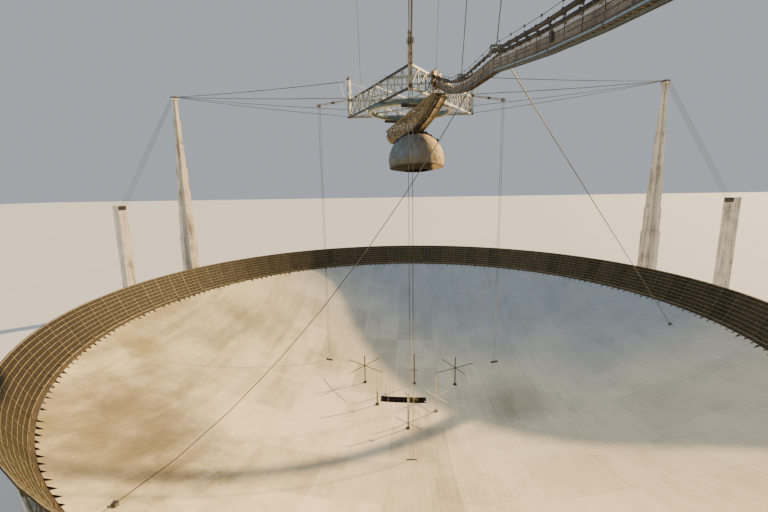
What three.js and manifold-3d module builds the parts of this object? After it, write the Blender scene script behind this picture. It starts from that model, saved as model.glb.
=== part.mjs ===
// A giant fixed spherical radio telescope at 1:20: a bowl-shaped reflector inside a leaning ground screen,
// and a triangular platform hung on cables from three towers, with a turning bow-shaped arm and a receiver
// dome. Millimetres, +Z up. The origin is on the floor under the middle of the bowl, and the near tower
// stands towards -Y.
import * as THREE from "three";
import { mergeVertices } from "three/addons/utils/BufferGeometryUtils.js";
import Module from "manifold-3d";

const wasm = await Module();
wasm.setup();

// Driving dimensions. One full-size metre is 50 mm in the model. Heights count from the bowl's lowest point.
const metre = 50;
const bowlLift = 6 * metre; // the bowl's lowest point above the floor
const floorZ = -bowlLift;
const seatGap = 0.3; // pieces that rest on each other stay this far apart
const degree = Math.PI / 180;

const curveRadius = 265.2 * metre; // the spherical bowl's radius of curvature
const apertureRadius = 152.4 * metre;
const bowlThickness = 0.4 * metre;
const centreRadius = 34 * metre; // the middle piece of the bowl, which carries the slot and the masts
const ringFacets = 96; // one for each bay of the ground screen
const sectorCount = 6;
const quadrantCount = 4;

const rimBeam = { width: 3.2 * metre, depth: 3 * metre, columns: 24, columnWidth: 2.4 * metre };
const screen = { rise: 15 * metre, lean: 6.5 * metre, thickness: 0.2 * metre };
const slot = { x0: -15.8 * metre, x1: 7.9 * metre, y0: -7.6 * metre, y1: -1.2 * metre };
const tieSlot = { radial: 1.7 * metre, across: 2.6 * metre };
const masts = { pole: 0.33 * metre, arm: 0.3 * metre, plate: 0.9 * metre, plateDepth: 0.5 * metre };
// The outer three masts, then the inner three: place, height, hub height, reach and bearing of the arms.
const mastList = [
  { x: -27.2, y: 11.6, height: 16.8, hub: 10.6, reach: 13.5, turn: 54 },
  { x: 25.7, y: 11, height: 17, hub: 10.5, reach: 13, turn: 30 },
  { x: -1.5, y: -32.7, height: 18.4, hub: 11, reach: 1.7, turn: 0 },
  { x: 2, y: 13.5, height: 18.8, hub: 8.6, reach: 2.2, turn: 10 },
  { x: -18.1, y: -10.7, height: 18.7, hub: 7.9, reach: 1.4, turn: -40 },
  { x: 12.9, y: -15.7, height: 18.8, hub: 8.3, reach: 8.4, turn: 41 },
];

const towerAngles = { near: -90 * degree, right: 30 * degree, left: 150 * degree };
const tower = {
  radius: 214 * metre,
  top: 188.9 * metre,
  firstStep: 171.8 * metre, // where the slimmest length of the shaft ends
  stepHeight: 18.2 * metre,
  steps: 6,
  topWidth: 3.6 * metre,
  widen: 1.3 * metre,
  webShare: 0.46, // the width of each web of the cross, as a share of the cross
  capWidth: 4.6 * metre,
  capDepth: 1.3 * metre,
};
const anchor = { radius: 330 * metre, top: 104 * metre, width: 8 * metre, length: 12 * metre };
const cableRadius = 0.11 * metre;

const platform = {
  cornerRadius: 38.1 * metre,
  bottom: 154.2 * metre,
  top: 162.8 * metre,
  chord: 0.8 * metre,
  lacing: 0.42 * metre,
  bays: 10,
  cornerPost: 1.6 * metre,
  postTop: 174.3 * metre,
};
const outrigger = {
  radius: 60.4 * metre,
  height: 163.4 * metre,
  boom: 0.9 * metre,
  spread: 0.7 * metre, // half the distance between the two tie-down ropes
  endHalf: metre,
  endDrop: 0.7 * metre,
};
const ring = { radius: 19.7 * metre, depth: 2.1 * metre };
// Two light ropes from the near tower's head to lugs on the top chords of the platform's near sides.
const lightStay = {
  radius: 0.07 * metre,
  lugHalf: 0.25 * metre,
  lugs: [[-24.7 * metre, 4.67 * metre], [11.42 * metre, -18.32 * metre]],
};

const arm = {
  azimuth: 14.5 * degree,
  halfLength: 45.2 * metre,
  halfWidth: 2.7 * metre, // to the middle of each side truss
  topZ: 150.5 * metre,
  chord: 0.7 * metre,
  trackRadius: 124.7 * metre,
  railDepth: 0.34 * metre,
  bays: 12,
};
const padGap = seatGap + 0.05; // the trolley pads' running gap under the track
const domeZenith = 4.8 * degree;
const houseZenith = -18.7 * degree;

const bowlColour = { color: 0xb9b2a2, roughness: 0.75, metalness: 0.25 };
const meshColour = { color: 0x8a7448, roughness: 0.8, metalness: 0.3 };
const concreteColour = { color: 0xb4b0a6, roughness: 0.9, metalness: 0 };
const steelColour = { color: 0x8c8f82, roughness: 0.6, metalness: 0.4 };
const armColour = { color: 0x6a5138, roughness: 0.8, metalness: 0.3 };
const domeColour = { color: 0x8d9494, roughness: 0.65, metalness: 0.4 };
const cableColour = { color: 0x5b5a55, roughness: 0.6, metalness: 0.6 };
const mastColour = { color: 0xc9c2ae, roughness: 0.7, metalness: 0.3 };

const telescope = new THREE.Group();

const v = (x, y, z) => new THREE.Vector3(x, y, z);

// Closed geometry to a solid, and a solid back to geometry.
function solidOf(geometry) {
  const flat = geometry.index ? geometry.toNonIndexed() : geometry;
  const bare = new THREE.BufferGeometry().setAttribute("position", flat.getAttribute("position"));
  const merged = mergeVertices(bare, 1e-3);
  return new wasm.Manifold(
    new wasm.Mesh({
      numProp: 3,
      vertProperties: merged.attributes.position.array,
      triVerts: new Uint32Array(merged.index.array),
    }),
  );
}

function geometryOf(solid) {
  const mesh = solid.getMesh();
  const geometry = new THREE.BufferGeometry();
  geometry.setAttribute("position", new THREE.BufferAttribute(new Float32Array(mesh.vertProperties), 3));
  geometry.setIndex(new THREE.BufferAttribute(new Uint32Array(mesh.triVerts), 1));
  return geometry;
}

// Several closed geometries as one solid.
function joined(geometries) {
  let solids = geometries.map(solidOf);
  while (solids.length > 1) {
    const next = [];
    for (let i = 0; i < solids.length; i += 2)
      next.push(i + 1 < solids.length ? solids[i].add(solids[i + 1]) : solids[i]);
    solids = next;
  }
  return solids[0];
}

const fused = (geometries) => geometryOf(joined(geometries));

function place(parent, name, geometry, finish) {
  const mesh = new THREE.Mesh(geometry, new THREE.MeshStandardMaterial(finish));
  mesh.name = name;
  parent.add(mesh);
  return mesh;
}

function block(x0, x1, y0, y1, z0, z1) {
  const box = new THREE.BoxGeometry(x1 - x0, y1 - y0, z1 - z0);
  return box.translate((x0 + x1) / 2, (y0 + y1) / 2, (z0 + z1) / 2);
}

// A square bar between two points. Its first side lies along the given direction.
function bar(a, b, width, height = width, side = null) {
  const along = b.clone().sub(a);
  const box = new THREE.BoxGeometry(width, height, along.length());
  along.normalize();
  let across = side ? side.clone() : v(0, 0, 1).cross(along);
  if (across.length() < 0.05) across = v(1, 0, 0);
  across.addScaledVector(along, -across.dot(along)).normalize();
  const up = along.clone().cross(across);
  const frame = new THREE.Matrix4().makeBasis(across, up, along);
  frame.setPosition(a.clone().add(b).multiplyScalar(0.5));
  return box.applyMatrix4(frame);
}

// A round rod between two points.
function rod(a, b, radius, sides = 6) {
  const along = b.clone().sub(a);
  const cylinder = new THREE.CylinderGeometry(radius, radius, along.length(), sides);
  const turn = new THREE.Quaternion().setFromUnitVectors(v(0, 1, 0), along.normalize());
  cylinder.applyQuaternion(turn);
  const middle = a.clone().add(b).multiplyScalar(0.5);
  return cylinder.translate(middle.x, middle.y, middle.z);
}

// A cable that sags below the straight line between its ends.
function saggingCable(a, b, sag, radius, steps) {
  const points = [];
  for (let i = 0; i <= steps; i++) {
    const t = i / steps;
    const p = a.clone().lerp(b, t);
    p.z -= sag * 4 * t * (1 - t);
    points.push(p);
  }
  const section = new THREE.Shape();
  const sides = 6;
  for (let i = 0; i < sides; i++) {
    const turn = (i / sides) * 2 * Math.PI;
    if (i === 0) section.moveTo(radius, 0);
    else section.lineTo(radius * Math.cos(turn), radius * Math.sin(turn));
  }
  section.closePath();
  return new THREE.ExtrudeGeometry(section, {
    steps,
    bevelEnabled: false,
    extrudePath: new THREE.CatmullRomCurve3(points),
  });
}

// A profile of [radius, height] pairs turned round the vertical axis.
function turned(profile, facets) {
  const points = profile.map(([r, z]) => new THREE.Vector2(r, z));
  return new THREE.LatheGeometry(points, facets).rotateX(Math.PI / 2);
}

// The wedge of the plan between two angles, a little smaller than the whole, to cut one part of a ring.
function wedge(from, to, gap) {
  const reach = 12000;
  const middle = (from + to) / 2;
  const half = (to - from) / 2;
  const outline = new THREE.Shape();
  outline.moveTo(0, 0);
  outline.lineTo((reach / Math.cos(half)) * Math.cos(from), (reach / Math.cos(half)) * Math.sin(from));
  outline.lineTo((reach / Math.cos(half)) * Math.cos(to), (reach / Math.cos(half)) * Math.sin(to));
  outline.closePath();
  const prism = new THREE.ExtrudeGeometry(outline, { depth: 12000, bevelEnabled: false });
  const shift = gap / 2 / Math.sin(half);
  return solidOf(prism.translate(shift * Math.cos(middle), shift * Math.sin(middle), floorZ - 1));
}

const bowlHeight = (r, radius = curveRadius) => curveRadius - Math.sqrt(radius * radius - r * r);

// The bowl: a round middle piece with the long slot, and six sectors, each with a small slot for a tie-down.
function bowlProfile(from, to, steps, thickness = bowlThickness) {
  const profile = [];
  for (let i = 0; i <= steps; i++) {
    const r = from + ((to - from) * i) / steps;
    profile.push([r, bowlHeight(r)]);
  }
  for (let i = steps; i >= 0; i--) {
    const r = from + ((to - from) * i) / steps;
    profile.push([r, bowlHeight(r, curveRadius + thickness)]);
  }
  return profile;
}

// What stands on the bowl is cut to fit by a thick copy of it, raised by the seat gap.
const bowlSteps = { middle: 3, outer: 5 };
const cutterThickness = 3 * metre;
function middleGeometry(thickness) {
  return turned(bowlProfile(0, centreRadius, bowlSteps.middle, thickness).reverse(), ringFacets / 2);
}
function outerGeometry(thickness) {
  const profile = bowlProfile(centreRadius + seatGap, apertureRadius, bowlSteps.outer, thickness);
  profile.push(profile[0]);
  return turned(profile.reverse(), ringFacets);
}
const underMiddle = solidOf(middleGeometry(cutterThickness).translate(0, 0, seatGap));
const underOuter = solidOf(outerGeometry(cutterThickness).translate(0, 0, seatGap));

function buildBowl(parent) {
  const middle = solidOf(middleGeometry());
  const opening = solidOf(block(slot.x0, slot.x1, slot.y0, slot.y1, -metre, 2 * metre));
  place(parent, "reflector_centre", geometryOf(middle.subtract(opening)), bowlColour);

  const dish = solidOf(outerGeometry());
  for (let i = 0; i < sectorCount; i++) {
    const from = (i * 360 * degree) / sectorCount;
    const to = from + (360 * degree) / sectorCount;
    let sector = dish.intersect(wedge(from, to, seatGap));
    const middleAngle = (from + to) / 2;
    if (i % 2 === 0) {
      const hole = block(-tieSlot.radial / 2, tieSlot.radial / 2, -tieSlot.across / 2, tieSlot.across / 2,
        0, 20 * metre);
      hole.translate(outrigger.radius, 0, 0).rotateZ(middleAngle);
      sector = sector.subtract(solidOf(hole));
    }
    place(parent, `reflector_sector_${i + 1}`, geometryOf(sector), bowlColour);
  }
}

// The ring beam round the rim on its columns, and the leaning mesh screen that stands on it, in quadrants.
function buildRim(parent) {
  const rimZ = bowlHeight(apertureRadius);
  const inner = apertureRadius + seatGap;
  const outer = inner + rimBeam.width;
  const beam = solidOf(
    turned(
      [
        [inner, rimZ],
        [inner, rimZ - rimBeam.depth],
        [outer, rimZ - rimBeam.depth],
        [outer, rimZ],
        [inner, rimZ],
      ],
      ringFacets,
    ),
  );
  const foot = rimZ + seatGap;
  const head = foot + screen.rise;
  const sheet = solidOf(
    turned(
      [
        [inner, foot],
        [inner + screen.thickness, foot],
        [inner + screen.thickness + screen.lean, head],
        [inner + screen.lean, head],
        [inner, foot],
      ],
      ringFacets,
    ),
  );
  const columnsPerQuadrant = rimBeam.columns / quadrantCount;
  const columnRadius = (inner + outer) / 2;
  for (let q = 0; q < quadrantCount; q++) {
    const from = (q * 360 * degree) / quadrantCount + 45 * degree;
    const to = from + (360 * degree) / quadrantCount;
    const sector = wedge(from, to, seatGap);

    let frame = beam.intersect(sector);
    for (let i = 0; i < columnsPerQuadrant; i++) {
      const angle = from + ((i + 0.5) * (to - from)) / columnsPerQuadrant;
      const half = rimBeam.columnWidth / 2;
      const column = block(-half, half, -half, half, floorZ, rimZ - rimBeam.depth + half);
      frame = frame.add(solidOf(column.translate(columnRadius, 0, 0).rotateZ(angle)));
    }
    place(parent, `rim_frame_${q + 1}`, geometryOf(frame), concreteColour);

    place(parent, `ground_screen_${q + 1}`, geometryOf(sheet.intersect(sector)), meshColour);
  }
}

// One crossed-dipole mast: a foot plate, a pole and four level arms at the hub.
function buildMasts(parent) {
  const { pole, arm, plate, plateDepth } = masts;
  mastList.forEach((mast, i) => {
    const x = mast.x * metre;
    const y = mast.y * metre;
    const hub = mast.hub * metre;
    const parts = [
      block(-plate, plate, -plate, plate, 0, plateDepth),
      rod(v(0, 0, plateDepth / 2), v(0, 0, mast.height * metre), pole),
    ];
    for (let k = 0; k < 2; k++) {
      const turn = (mast.turn + 90 * k) * degree;
      const tip = v(mast.reach * metre * Math.cos(turn), mast.reach * metre * Math.sin(turn), hub);
      parts.push(bar(v(-tip.x, -tip.y, hub), tip, arm));
    }
    const base = bowlHeight(Math.hypot(x, y));
    const solid = joined(parts.map((part) => part.translate(x, y, base))).subtract(underMiddle);
    place(parent, `dipole_mast_${i + 1}`, geometryOf(solid), mastColour);
  });
}

function buildTower(parent, side, angle) {
  const group = new THREE.Group();
  group.rotation.z = angle;
  parent.add(group);

  const cross = (width, low, high) => {
    const half = width / 2;
    const web = (width * tower.webShare) / 2;
    const outline = new THREE.Shape();
    const corners = [
      [half, -web], [half, web], [web, web], [web, half], [-web, half], [-web, web],
      [-half, web], [-half, -web], [-web, -web], [-web, -half], [web, -half], [web, -web],
    ];
    corners.forEach(([x, y], i) => (i ? outline.lineTo(x, y) : outline.moveTo(x, y)));
    outline.closePath();
    const prism = new THREE.ExtrudeGeometry(outline, { depth: high - low, bevelEnabled: false });
    return prism.translate(tower.radius, 0, low);
  };
  const parts = [];
  for (let k = 0; k <= tower.steps; k++) {
    const step = tower.firstStep - k * tower.stepHeight;
    const high = k === 0 ? tower.top - tower.capDepth : step + tower.stepHeight;
    const low = k === tower.steps ? floorZ : step;
    parts.push(cross(tower.topWidth + k * tower.widen, low, high));
  }
  const cap = tower.capWidth / 2;
  parts.push(
    block(tower.radius - cap, tower.radius + cap, -cap, cap, tower.top - tower.capDepth, tower.top),
  );
  place(group, `tower_${side}`, fused(parts), concreteColour);

  const pierHalf = anchor.width / 2;
  const pier = block(anchor.radius, anchor.radius + anchor.length, -pierHalf, pierHalf, floorZ, anchor.top);
  place(group, `anchor_pier_${side}`, pier, concreteColour);

  const saddleHalf = 1.6 * metre;
  const saddleReach = 3.2 * metre; // the outboard saddle stands past the cap, clear of the steep backstays
  const saddleBase = tower.top + seatGap;
  const saddleTop = saddleBase + 1.4 * metre;
  const line = saddleBase + 0.8 * metre;
  const saddle = block(tower.radius + seatGap, tower.radius + saddleReach, -saddleHalf, saddleHalf,
    saddleBase, saddleTop);
  const inboard = block(tower.radius - saddleHalf, tower.radius, -saddleHalf, saddleHalf,
    saddleBase, saddleTop);

  const socketGap = seatGap + 0.2 * cableRadius; // a sloping rope's end face leans towards its socket
  const cornerReach = platform.cornerRadius + platform.cornerPost / 2 + socketGap;
  const mains = [inboard];
  for (const [z, across] of [[173, 0.45], [164.4, 1.1], [158.4, 0.45], [154.7, 1.1]])
    for (const sign of [-1, 1])
      mains.push(saggingCable(v(tower.radius - metre, sign * across * metre, line),
        v(cornerReach, sign * 0.3 * metre, z * metre), 0.8 * metre, cableRadius, 4));
  if (side === "near")
    for (const [x, y] of lightStay.lugs) {
      const { lugHalf } = lightStay;
      const foot = v(-y, x, platform.top + platform.chord / 2 + seatGap);
      const start = v(tower.radius - metre, Math.sign(x) * 0.8 * metre, line);
      mains.push(block(foot.x - lugHalf, foot.x + lugHalf, foot.y - lugHalf, foot.y + lugHalf,
        foot.z, foot.z + 3 * lugHalf));
      mains.push(rod(start, foot.add(v(0, 0, 2 * lugHalf)), lightStay.radius));
    }
  place(group, `main_cables_${side}`, fused(mains), cableColour);

  const stays = [saddle];
  const socket = 1.2 * metre;
  stays.push(block(anchor.radius - socket - seatGap, anchor.radius - seatGap, -3 * metre, 3 * metre,
    anchor.top - 3.4 * metre, anchor.top - metre));
  for (const across of [-2.4, -0.8, 0.8, 2.4])
    stays.push(rod(v(tower.radius + saddleReach - 0.4 * metre, across * 0.6 * metre, line),
      v(anchor.radius - socket / 2, across * metre, anchor.top - 2.2 * metre), cableRadius));
  place(group, `backstay_${side}`, fused(stays), cableColour);
}

// A flat truss side of the platform, between two corner posts.
function platformFace(a, b) {
  const at = (t, z) => v(a.x + (b.x - a.x) * t, a.y + (b.y - a.y) * t, z);
  const normal = v(b.y - a.y, a.x - b.x, 0).normalize();
  const { bottom, top, chord, lacing, bays } = platform;
  const parts = [
    bar(at(0, bottom), at(1, bottom), chord, chord, normal),
    bar(at(0, top), at(1, top), chord, chord, normal),
  ];
  for (let i = 1; i < bays; i++)
    parts.push(bar(at(i / bays, bottom), at(i / bays, top), lacing, lacing, normal));
  for (let i = 0; i < bays; i++) {
    const rising = i < bays / 2;
    const low = at((rising ? i : i + 1) / bays, bottom);
    const high = at((rising ? i + 1 : i) / bays, top);
    parts.push(bar(low, high, lacing, lacing, normal));
  }
  return joined(parts);
}

function buildPlatform(parent) {
  const corner = (angle) => {
    return v(platform.cornerRadius * Math.cos(angle), platform.cornerRadius * Math.sin(angle), 0);
  };
  const keepClear = (grow) => {
    const half = platform.cornerPost / 2 + grow;
    return Object.values(towerAngles).map((angle) =>
      block(-half, half, -half, half, platform.bottom - metre, platform.postTop + metre)
        .translate(platform.cornerRadius, 0, 0)
        .rotateZ(angle),
    );
  };
  const posts = keepClear(seatGap).map(solidOf);
  const cut = (solid) => posts.reduce((rest, post) => rest.subtract(post), solid);

  const sides = {
    near_left: [towerAngles.left, towerAngles.near],
    near_right: [towerAngles.near, towerAngles.right],
    far: [towerAngles.right, towerAngles.left],
  };
  for (const [name, [from, to]] of Object.entries(sides))
    place(parent, `platform_truss_${name}`, geometryOf(cut(platformFace(corner(from), corner(to)))),
      steelColour);

  // The floor and roof lattices fill the triangle inside the three side trusses.
  const inset = platform.chord / 2 + seatGap;
  const shrink = 1 - (2 * inset) / platform.cornerRadius;
  const outline = new THREE.Shape();
  Object.values(towerAngles).forEach((angle, i) => {
    const p = corner(angle).multiplyScalar(shrink);
    if (i) outline.lineTo(p.x, p.y);
    else outline.moveTo(p.x, p.y);
  });
  outline.closePath();
  const lattice = (z, depth) => {
    const limit = new THREE.ExtrudeGeometry(outline, { depth: 2 * depth, bevelEnabled: false });
    const inside = solidOf(limit.translate(0, 0, z - depth));
    const parts = [];
    for (const angle of Object.values(towerAngles)) {
      const away = v(Math.cos(angle), Math.sin(angle), 0);
      const across = v(-away.y, away.x, 0);
      for (const reach of [10, 20]) {
        const middle = away.clone().multiplyScalar(reach * metre).setZ(z);
        const span = across.clone().multiplyScalar(40 * metre);
        parts.push(bar(middle.clone().sub(span), middle.clone().add(span), depth * 0.6, depth));
      }
      const tip = away.clone().multiplyScalar(platform.cornerRadius).setZ(z);
      parts.push(bar(v(0, 0, z), tip, depth * 0.7, depth));
    }
    return geometryOf(cut(joined(parts).intersect(inside)));
  };
  place(parent, "platform_floor", lattice(platform.bottom, 0.6 * metre), steelColour);
  place(parent, "platform_roof", lattice(platform.top, 0.6 * metre), steelColour);

  const ringTop = platform.bottom - platform.chord / 2 - seatGap;
  const middleZ = ringTop - ring.depth / 2;
  const section = [];
  for (let i = 0; i <= 6; i++) {
    const turn = 60 * i * degree;
    const reach = ring.depth / 2 / Math.cos(30 * degree);
    section.push([ring.radius + reach * Math.cos(turn), middleZ + reach * Math.sin(turn)]);
  }
  place(parent, "ring_girder", turned(section, 36), steelColour);

  for (const [side, angle] of Object.entries(towerAngles)) {
    const group = new THREE.Group();
    group.rotation.z = angle;
    parent.add(group);
    const half = platform.cornerPost / 2;
    const root = platform.cornerRadius;
    const tip = v(outrigger.radius, 0, outrigger.height);
    const clampHalf = outrigger.spread + cableRadius + metre / 2;
    const parts = [
      block(root - half, root + half, -half, half, platform.bottom - metre / 2, platform.postTop),
      bar(v(root, 0, outrigger.height), tip, outrigger.boom),
      block(outrigger.radius - outrigger.endHalf, outrigger.radius + outrigger.endHalf, -clampHalf, clampHalf,
        outrigger.height - outrigger.endDrop, outrigger.height + 0.5 * metre),
    ];
    place(group, `outrigger_${side}`, fused(parts), steelColour);

    // The tie-down: two upright ropes from the outrigger through the bowl to a block on the floor.
    const block0 = 1.2 * metre;
    const top = outrigger.height - outrigger.endDrop - seatGap;
    const ropes = [block(outrigger.radius - block0, outrigger.radius + block0, -1.8 * metre, 1.8 * metre,
      floorZ, floorZ + 2 * metre)];
    for (const sign of [-1, 1])
      ropes.push(rod(v(outrigger.radius, sign * outrigger.spread, floorZ + metre),
        v(outrigger.radius, sign * outrigger.spread, top), cableRadius));
    place(group, `tie_down_${side}`, fused(ropes), cableColour);
  }
}

// A strip of a ring in the plane across X, centred below the centre of curvature.
function curvedStrip(innerRadius, outerRadius, halfAngle, x0, x1, segments) {
  const strip = new THREE.Shape();
  const low = -Math.PI / 2 - halfAngle;
  const high = -Math.PI / 2 + halfAngle;
  strip.absarc(0, 0, outerRadius, low, high, false);
  strip.absarc(0, 0, innerRadius, high, low, true);
  strip.closePath();
  const prism = new THREE.ExtrudeGeometry(strip, {
    depth: x1 - x0,
    bevelEnabled: false,
    curveSegments: segments / 2,
  });
  const frame = new THREE.Matrix4().makeBasis(v(0, 1, 0), v(0, 0, 1), v(1, 0, 0));
  return prism.applyMatrix4(frame).translate(x0, 0, curveRadius);
}

function buildArm(parent) {
  const { halfLength, halfWidth, topZ, chord, trackRadius, railDepth, bays } = arm;
  const chordOuter = trackRadius - railDepth - seatGap;
  const chordMiddle = chordOuter - chord / 2;
  const halfAngle = Math.asin(halfLength / trackRadius);
  const sideways = v(1, 0, 0);
  const trackAt = (y, radius) => curveRadius - Math.sqrt(radius * radius - y * y);
  const topMiddle = topZ - chord / 2;
  const lacing = 0.4 * metre;
  const trackSegments = 24;

  for (const [name, sign] of [["left", -1], ["right", 1]]) {
    const x = sign * halfWidth;
    const reach = halfLength - chord / 2;
    const parts = [
      bar(v(x, -halfLength, topMiddle), v(x, halfLength, topMiddle), chord, chord, sideways),
      curvedStrip(chordOuter - chord, chordOuter, halfAngle, x - chord / 2, x + chord / 2, trackSegments),
    ];
    for (let i = 0; i <= bays; i++) {
      const y = -reach + (2 * reach * i) / bays;
      const low = v(x, y, trackAt(y, chordMiddle));
      parts.push(bar(low, v(x, y, topMiddle), lacing, lacing, sideways));
      if (i < bays) {
        const next = -reach + (2 * reach * (i + 1)) / bays;
        const inward = i < bays / 2;
        const foot = inward ? next : y;
        const head = inward ? y : next;
        parts.push(bar(v(x, foot, trackAt(foot, chordMiddle)), v(x, head, topMiddle), lacing, lacing,
          sideways));
      }
    }
    place(parent, `arm_truss_${name}`, fused(parts), armColour);
  }

  // Bracing between the two trusses' top chords, with the trolleys that carry the arm under the ring girder.
  const clear = halfWidth - chord / 2 - seatGap;
  const spine = ring.radius + 0.8 * metre;
  const braces = [bar(v(0, -spine, topMiddle), v(0, spine, topMiddle), chord, chord)];
  const reach = halfLength - chord / 2;
  for (let i = 0; i <= bays; i++) {
    const y = -reach + (2 * reach * i) / bays;
    braces.push(block(-clear, clear, y - lacing / 2, y + lacing / 2,
      topMiddle - lacing / 2, topMiddle + lacing / 2));
    if (i < bays) {
      const next = -reach + (2 * reach * (i + 1)) / bays;
      const sign = i % 2 ? 1 : -1;
      const inner = clear - lacing / 2;
      braces.push(bar(v(-sign * inner, y, topMiddle), v(sign * inner, next, topMiddle), lacing * 0.6));
    }
  }
  const ringBottom = platform.bottom - platform.chord / 2 - 2 * seatGap - ring.depth;
  for (const sign of [-1, 1]) {
    const y = sign * (ring.radius - metre / 2); // a straight beam under the curve meets it on both sides
    const trolleyHalf = 9 * metre;
    braces.push(block(-trolleyHalf, trolleyHalf, y - 0.7 * metre, y + 0.7 * metre,
      topZ + seatGap, ringBottom));
    braces.push(block(-metre, metre, y - metre / 2, y + metre / 2, topMiddle, topZ + metre / 4));
  }
  place(parent, "arm_ring_trolleys", fused(braces), armColour);

  // The curved track that both carriages run on: two rails joined by ties.
  const track = [];
  for (const sign of [-1, 1]) {
    const x = sign * halfWidth;
    track.push(curvedStrip(trackRadius - railDepth, trackRadius, halfAngle, x - chord / 2, x + chord / 2,
      trackSegments));
  }
  const tieInset = 0.06 * metre;
  const lastTie = halfAngle - (0.6 * lacing) / trackRadius; // the end ties stay inside the rails' ends
  for (let i = 0; i <= bays; i++) {
    const angle = (-1 + (2 * i) / bays) * lastTie;
    const tie = block(-halfWidth, halfWidth, -lacing / 2, lacing / 2,
      -trackRadius + tieInset, -trackRadius + railDepth - tieInset);
    track.push(tie.rotateX(angle).translate(0, 0, curveRadius));
  }
  place(parent, "arm_track", fused(track), steelColour);
}

// A pad that runs close under one rail of the track, leaned to follow the track's curve.
function trackPad(x, y, depth) {
  const halfAcross = 0.35 * metre;
  const halfAlong = 0.6 * metre;
  const pad = block(-halfAcross, halfAcross, -halfAlong, halfAlong,
    -arm.trackRadius - depth, -arm.trackRadius - padGap);
  return pad.rotateX(y / arm.trackRadius).translate(x, 0, 0);
}

// The receiver dome and its carriage, drawn hanging straight below the centre of curvature.
const domeOutside = [
  [0, 125.35], [3.7, 125.7], [7.2, 127], [10, 129.2], [12.1, 132.2], [13.1, 135.6], [13.3, 138.9],
  [12.8, 140.9], [8.5, 142.1], [6.2, 142.4],
];
const domeInside = [
  [6.2, 142], [8.3, 141.7], [12.35, 140.6], [12.85, 138.9], [12.65, 135.7], [11.7, 132.5], [9.7, 129.6],
  [6.95, 127.5], [3.6, 126.15], [0, 125.8],
];

function buildDome(parent) {
  const scaled = (profile) => profile.map(([r, rho]) => [r * metre, -rho * metre]);
  const facets = 24;
  const shell = turned(scaled([...domeOutside, ...domeInside]).reverse(), facets);
  place(parent, "receiver_dome", shell, domeColour);

  const cutter = domeOutside.map(([r, rho]) => [r ? r * metre + seatGap : 0, -rho * metre + seatGap]);
  cutter.push([0, -142.4 * metre + seatGap]);
  const domeSpace = solidOf(turned(cutter.reverse(), facets));
  const rho = (depth) => -(arm.trackRadius + depth * metre);
  const parts = [
    block(-4.4 * metre, 4.4 * metre, -4 * metre, 4 * metre, rho(0.65), rho(0.25)),
    new THREE.CylinderGeometry(3.2 * metre, 3.2 * metre, 2.6 * metre, 12)
      .rotateX(Math.PI / 2)
      .translate(0, 0, rho(1.7)),
  ];
  for (const x of [-1, 1]) {
    for (const y of [-1, 1]) {
      parts.push(trackPad(x * arm.halfWidth, y * 2.7 * metre, metre / 2));
      parts.push(bar(v(x * 4 * metre, y * 2.6 * metre, rho(0.45)),
        v(x * 10.2 * metre, y * 2.6 * metre, rho(4.8)), 0.8 * metre, 0.8 * metre, v(0, 1, 0)));
    }
    for (const [reach, depth, width] of [[9.6, 3.9, 1], [6.6, 1.8, 0.7]]) {
      const end = v(x * reach * metre, 3.4 * metre, rho(depth));
      parts.push(bar(v(end.x, -end.y, end.z), end, width * metre));
    }
  }
  place(parent, "dome_carriage", geometryOf(joined(parts).subtract(domeSpace)), armColour);
}

// The second carriage on the far half of the track: a panelled house with a rounded underside.
function buildHouse(parent) {
  const rho = (depth) => -(arm.trackRadius + depth * metre);
  const half = 3.3 * metre;
  const outline = new THREE.Shape();
  outline.moveTo(-half, rho(0.9));
  outline.lineTo(-half, rho(1.6));
  outline.absarc(0, rho(1.6), half, Math.PI, 2 * Math.PI, false);
  outline.lineTo(half, rho(0.9));
  outline.closePath();
  const length = 6.4 * metre;
  const round = { depth: length, bevelEnabled: false, curveSegments: 4 };
  const body = new THREE.ExtrudeGeometry(outline, round);
  body.applyMatrix4(new THREE.Matrix4().makeBasis(v(1, 0, 0), v(0, 0, 1), v(0, -1, 0)));
  body.translate(0, length / 2, 0);
  const parts = [body];
  for (const x of [-1, 1])
    for (const y of [-1, 1]) parts.push(trackPad(x * arm.halfWidth, y * 2.4 * metre, metre));
  place(parent, "carriage_house", fused(parts), armColour);
}

// The footbridge's line in plan and its floor's height, read every few metres along it.
const nearCorner = v(0, -platform.cornerRadius, 0);
const nearRightFace = v(Math.cos(60 * degree), Math.sin(60 * degree), 0);
const catwalk = {
  from: nearCorner.clone().addScaledVector(nearRightFace, 22.6 * metre),
  toward: v(20 * metre, -175 * metre, 0),
  width: 1.2 * metre,
  wall: 2 * metre,
  sheet: 0.14 * metre,
  cableRise: 2.9 * metre,
};
const catwalkFloor = [
  [0, 160.3], [8, 157.5], [17, 154.4], [27, 151.5], [35, 148.7], [43, 146.4], [52, 144.2], [61, 142.3],
  [74, 140], [86, 138.6], [98, 137.2], [110, 134.7], [123, 132.1], [136, 129.9], [150, 128], [168, 126],
];

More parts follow.
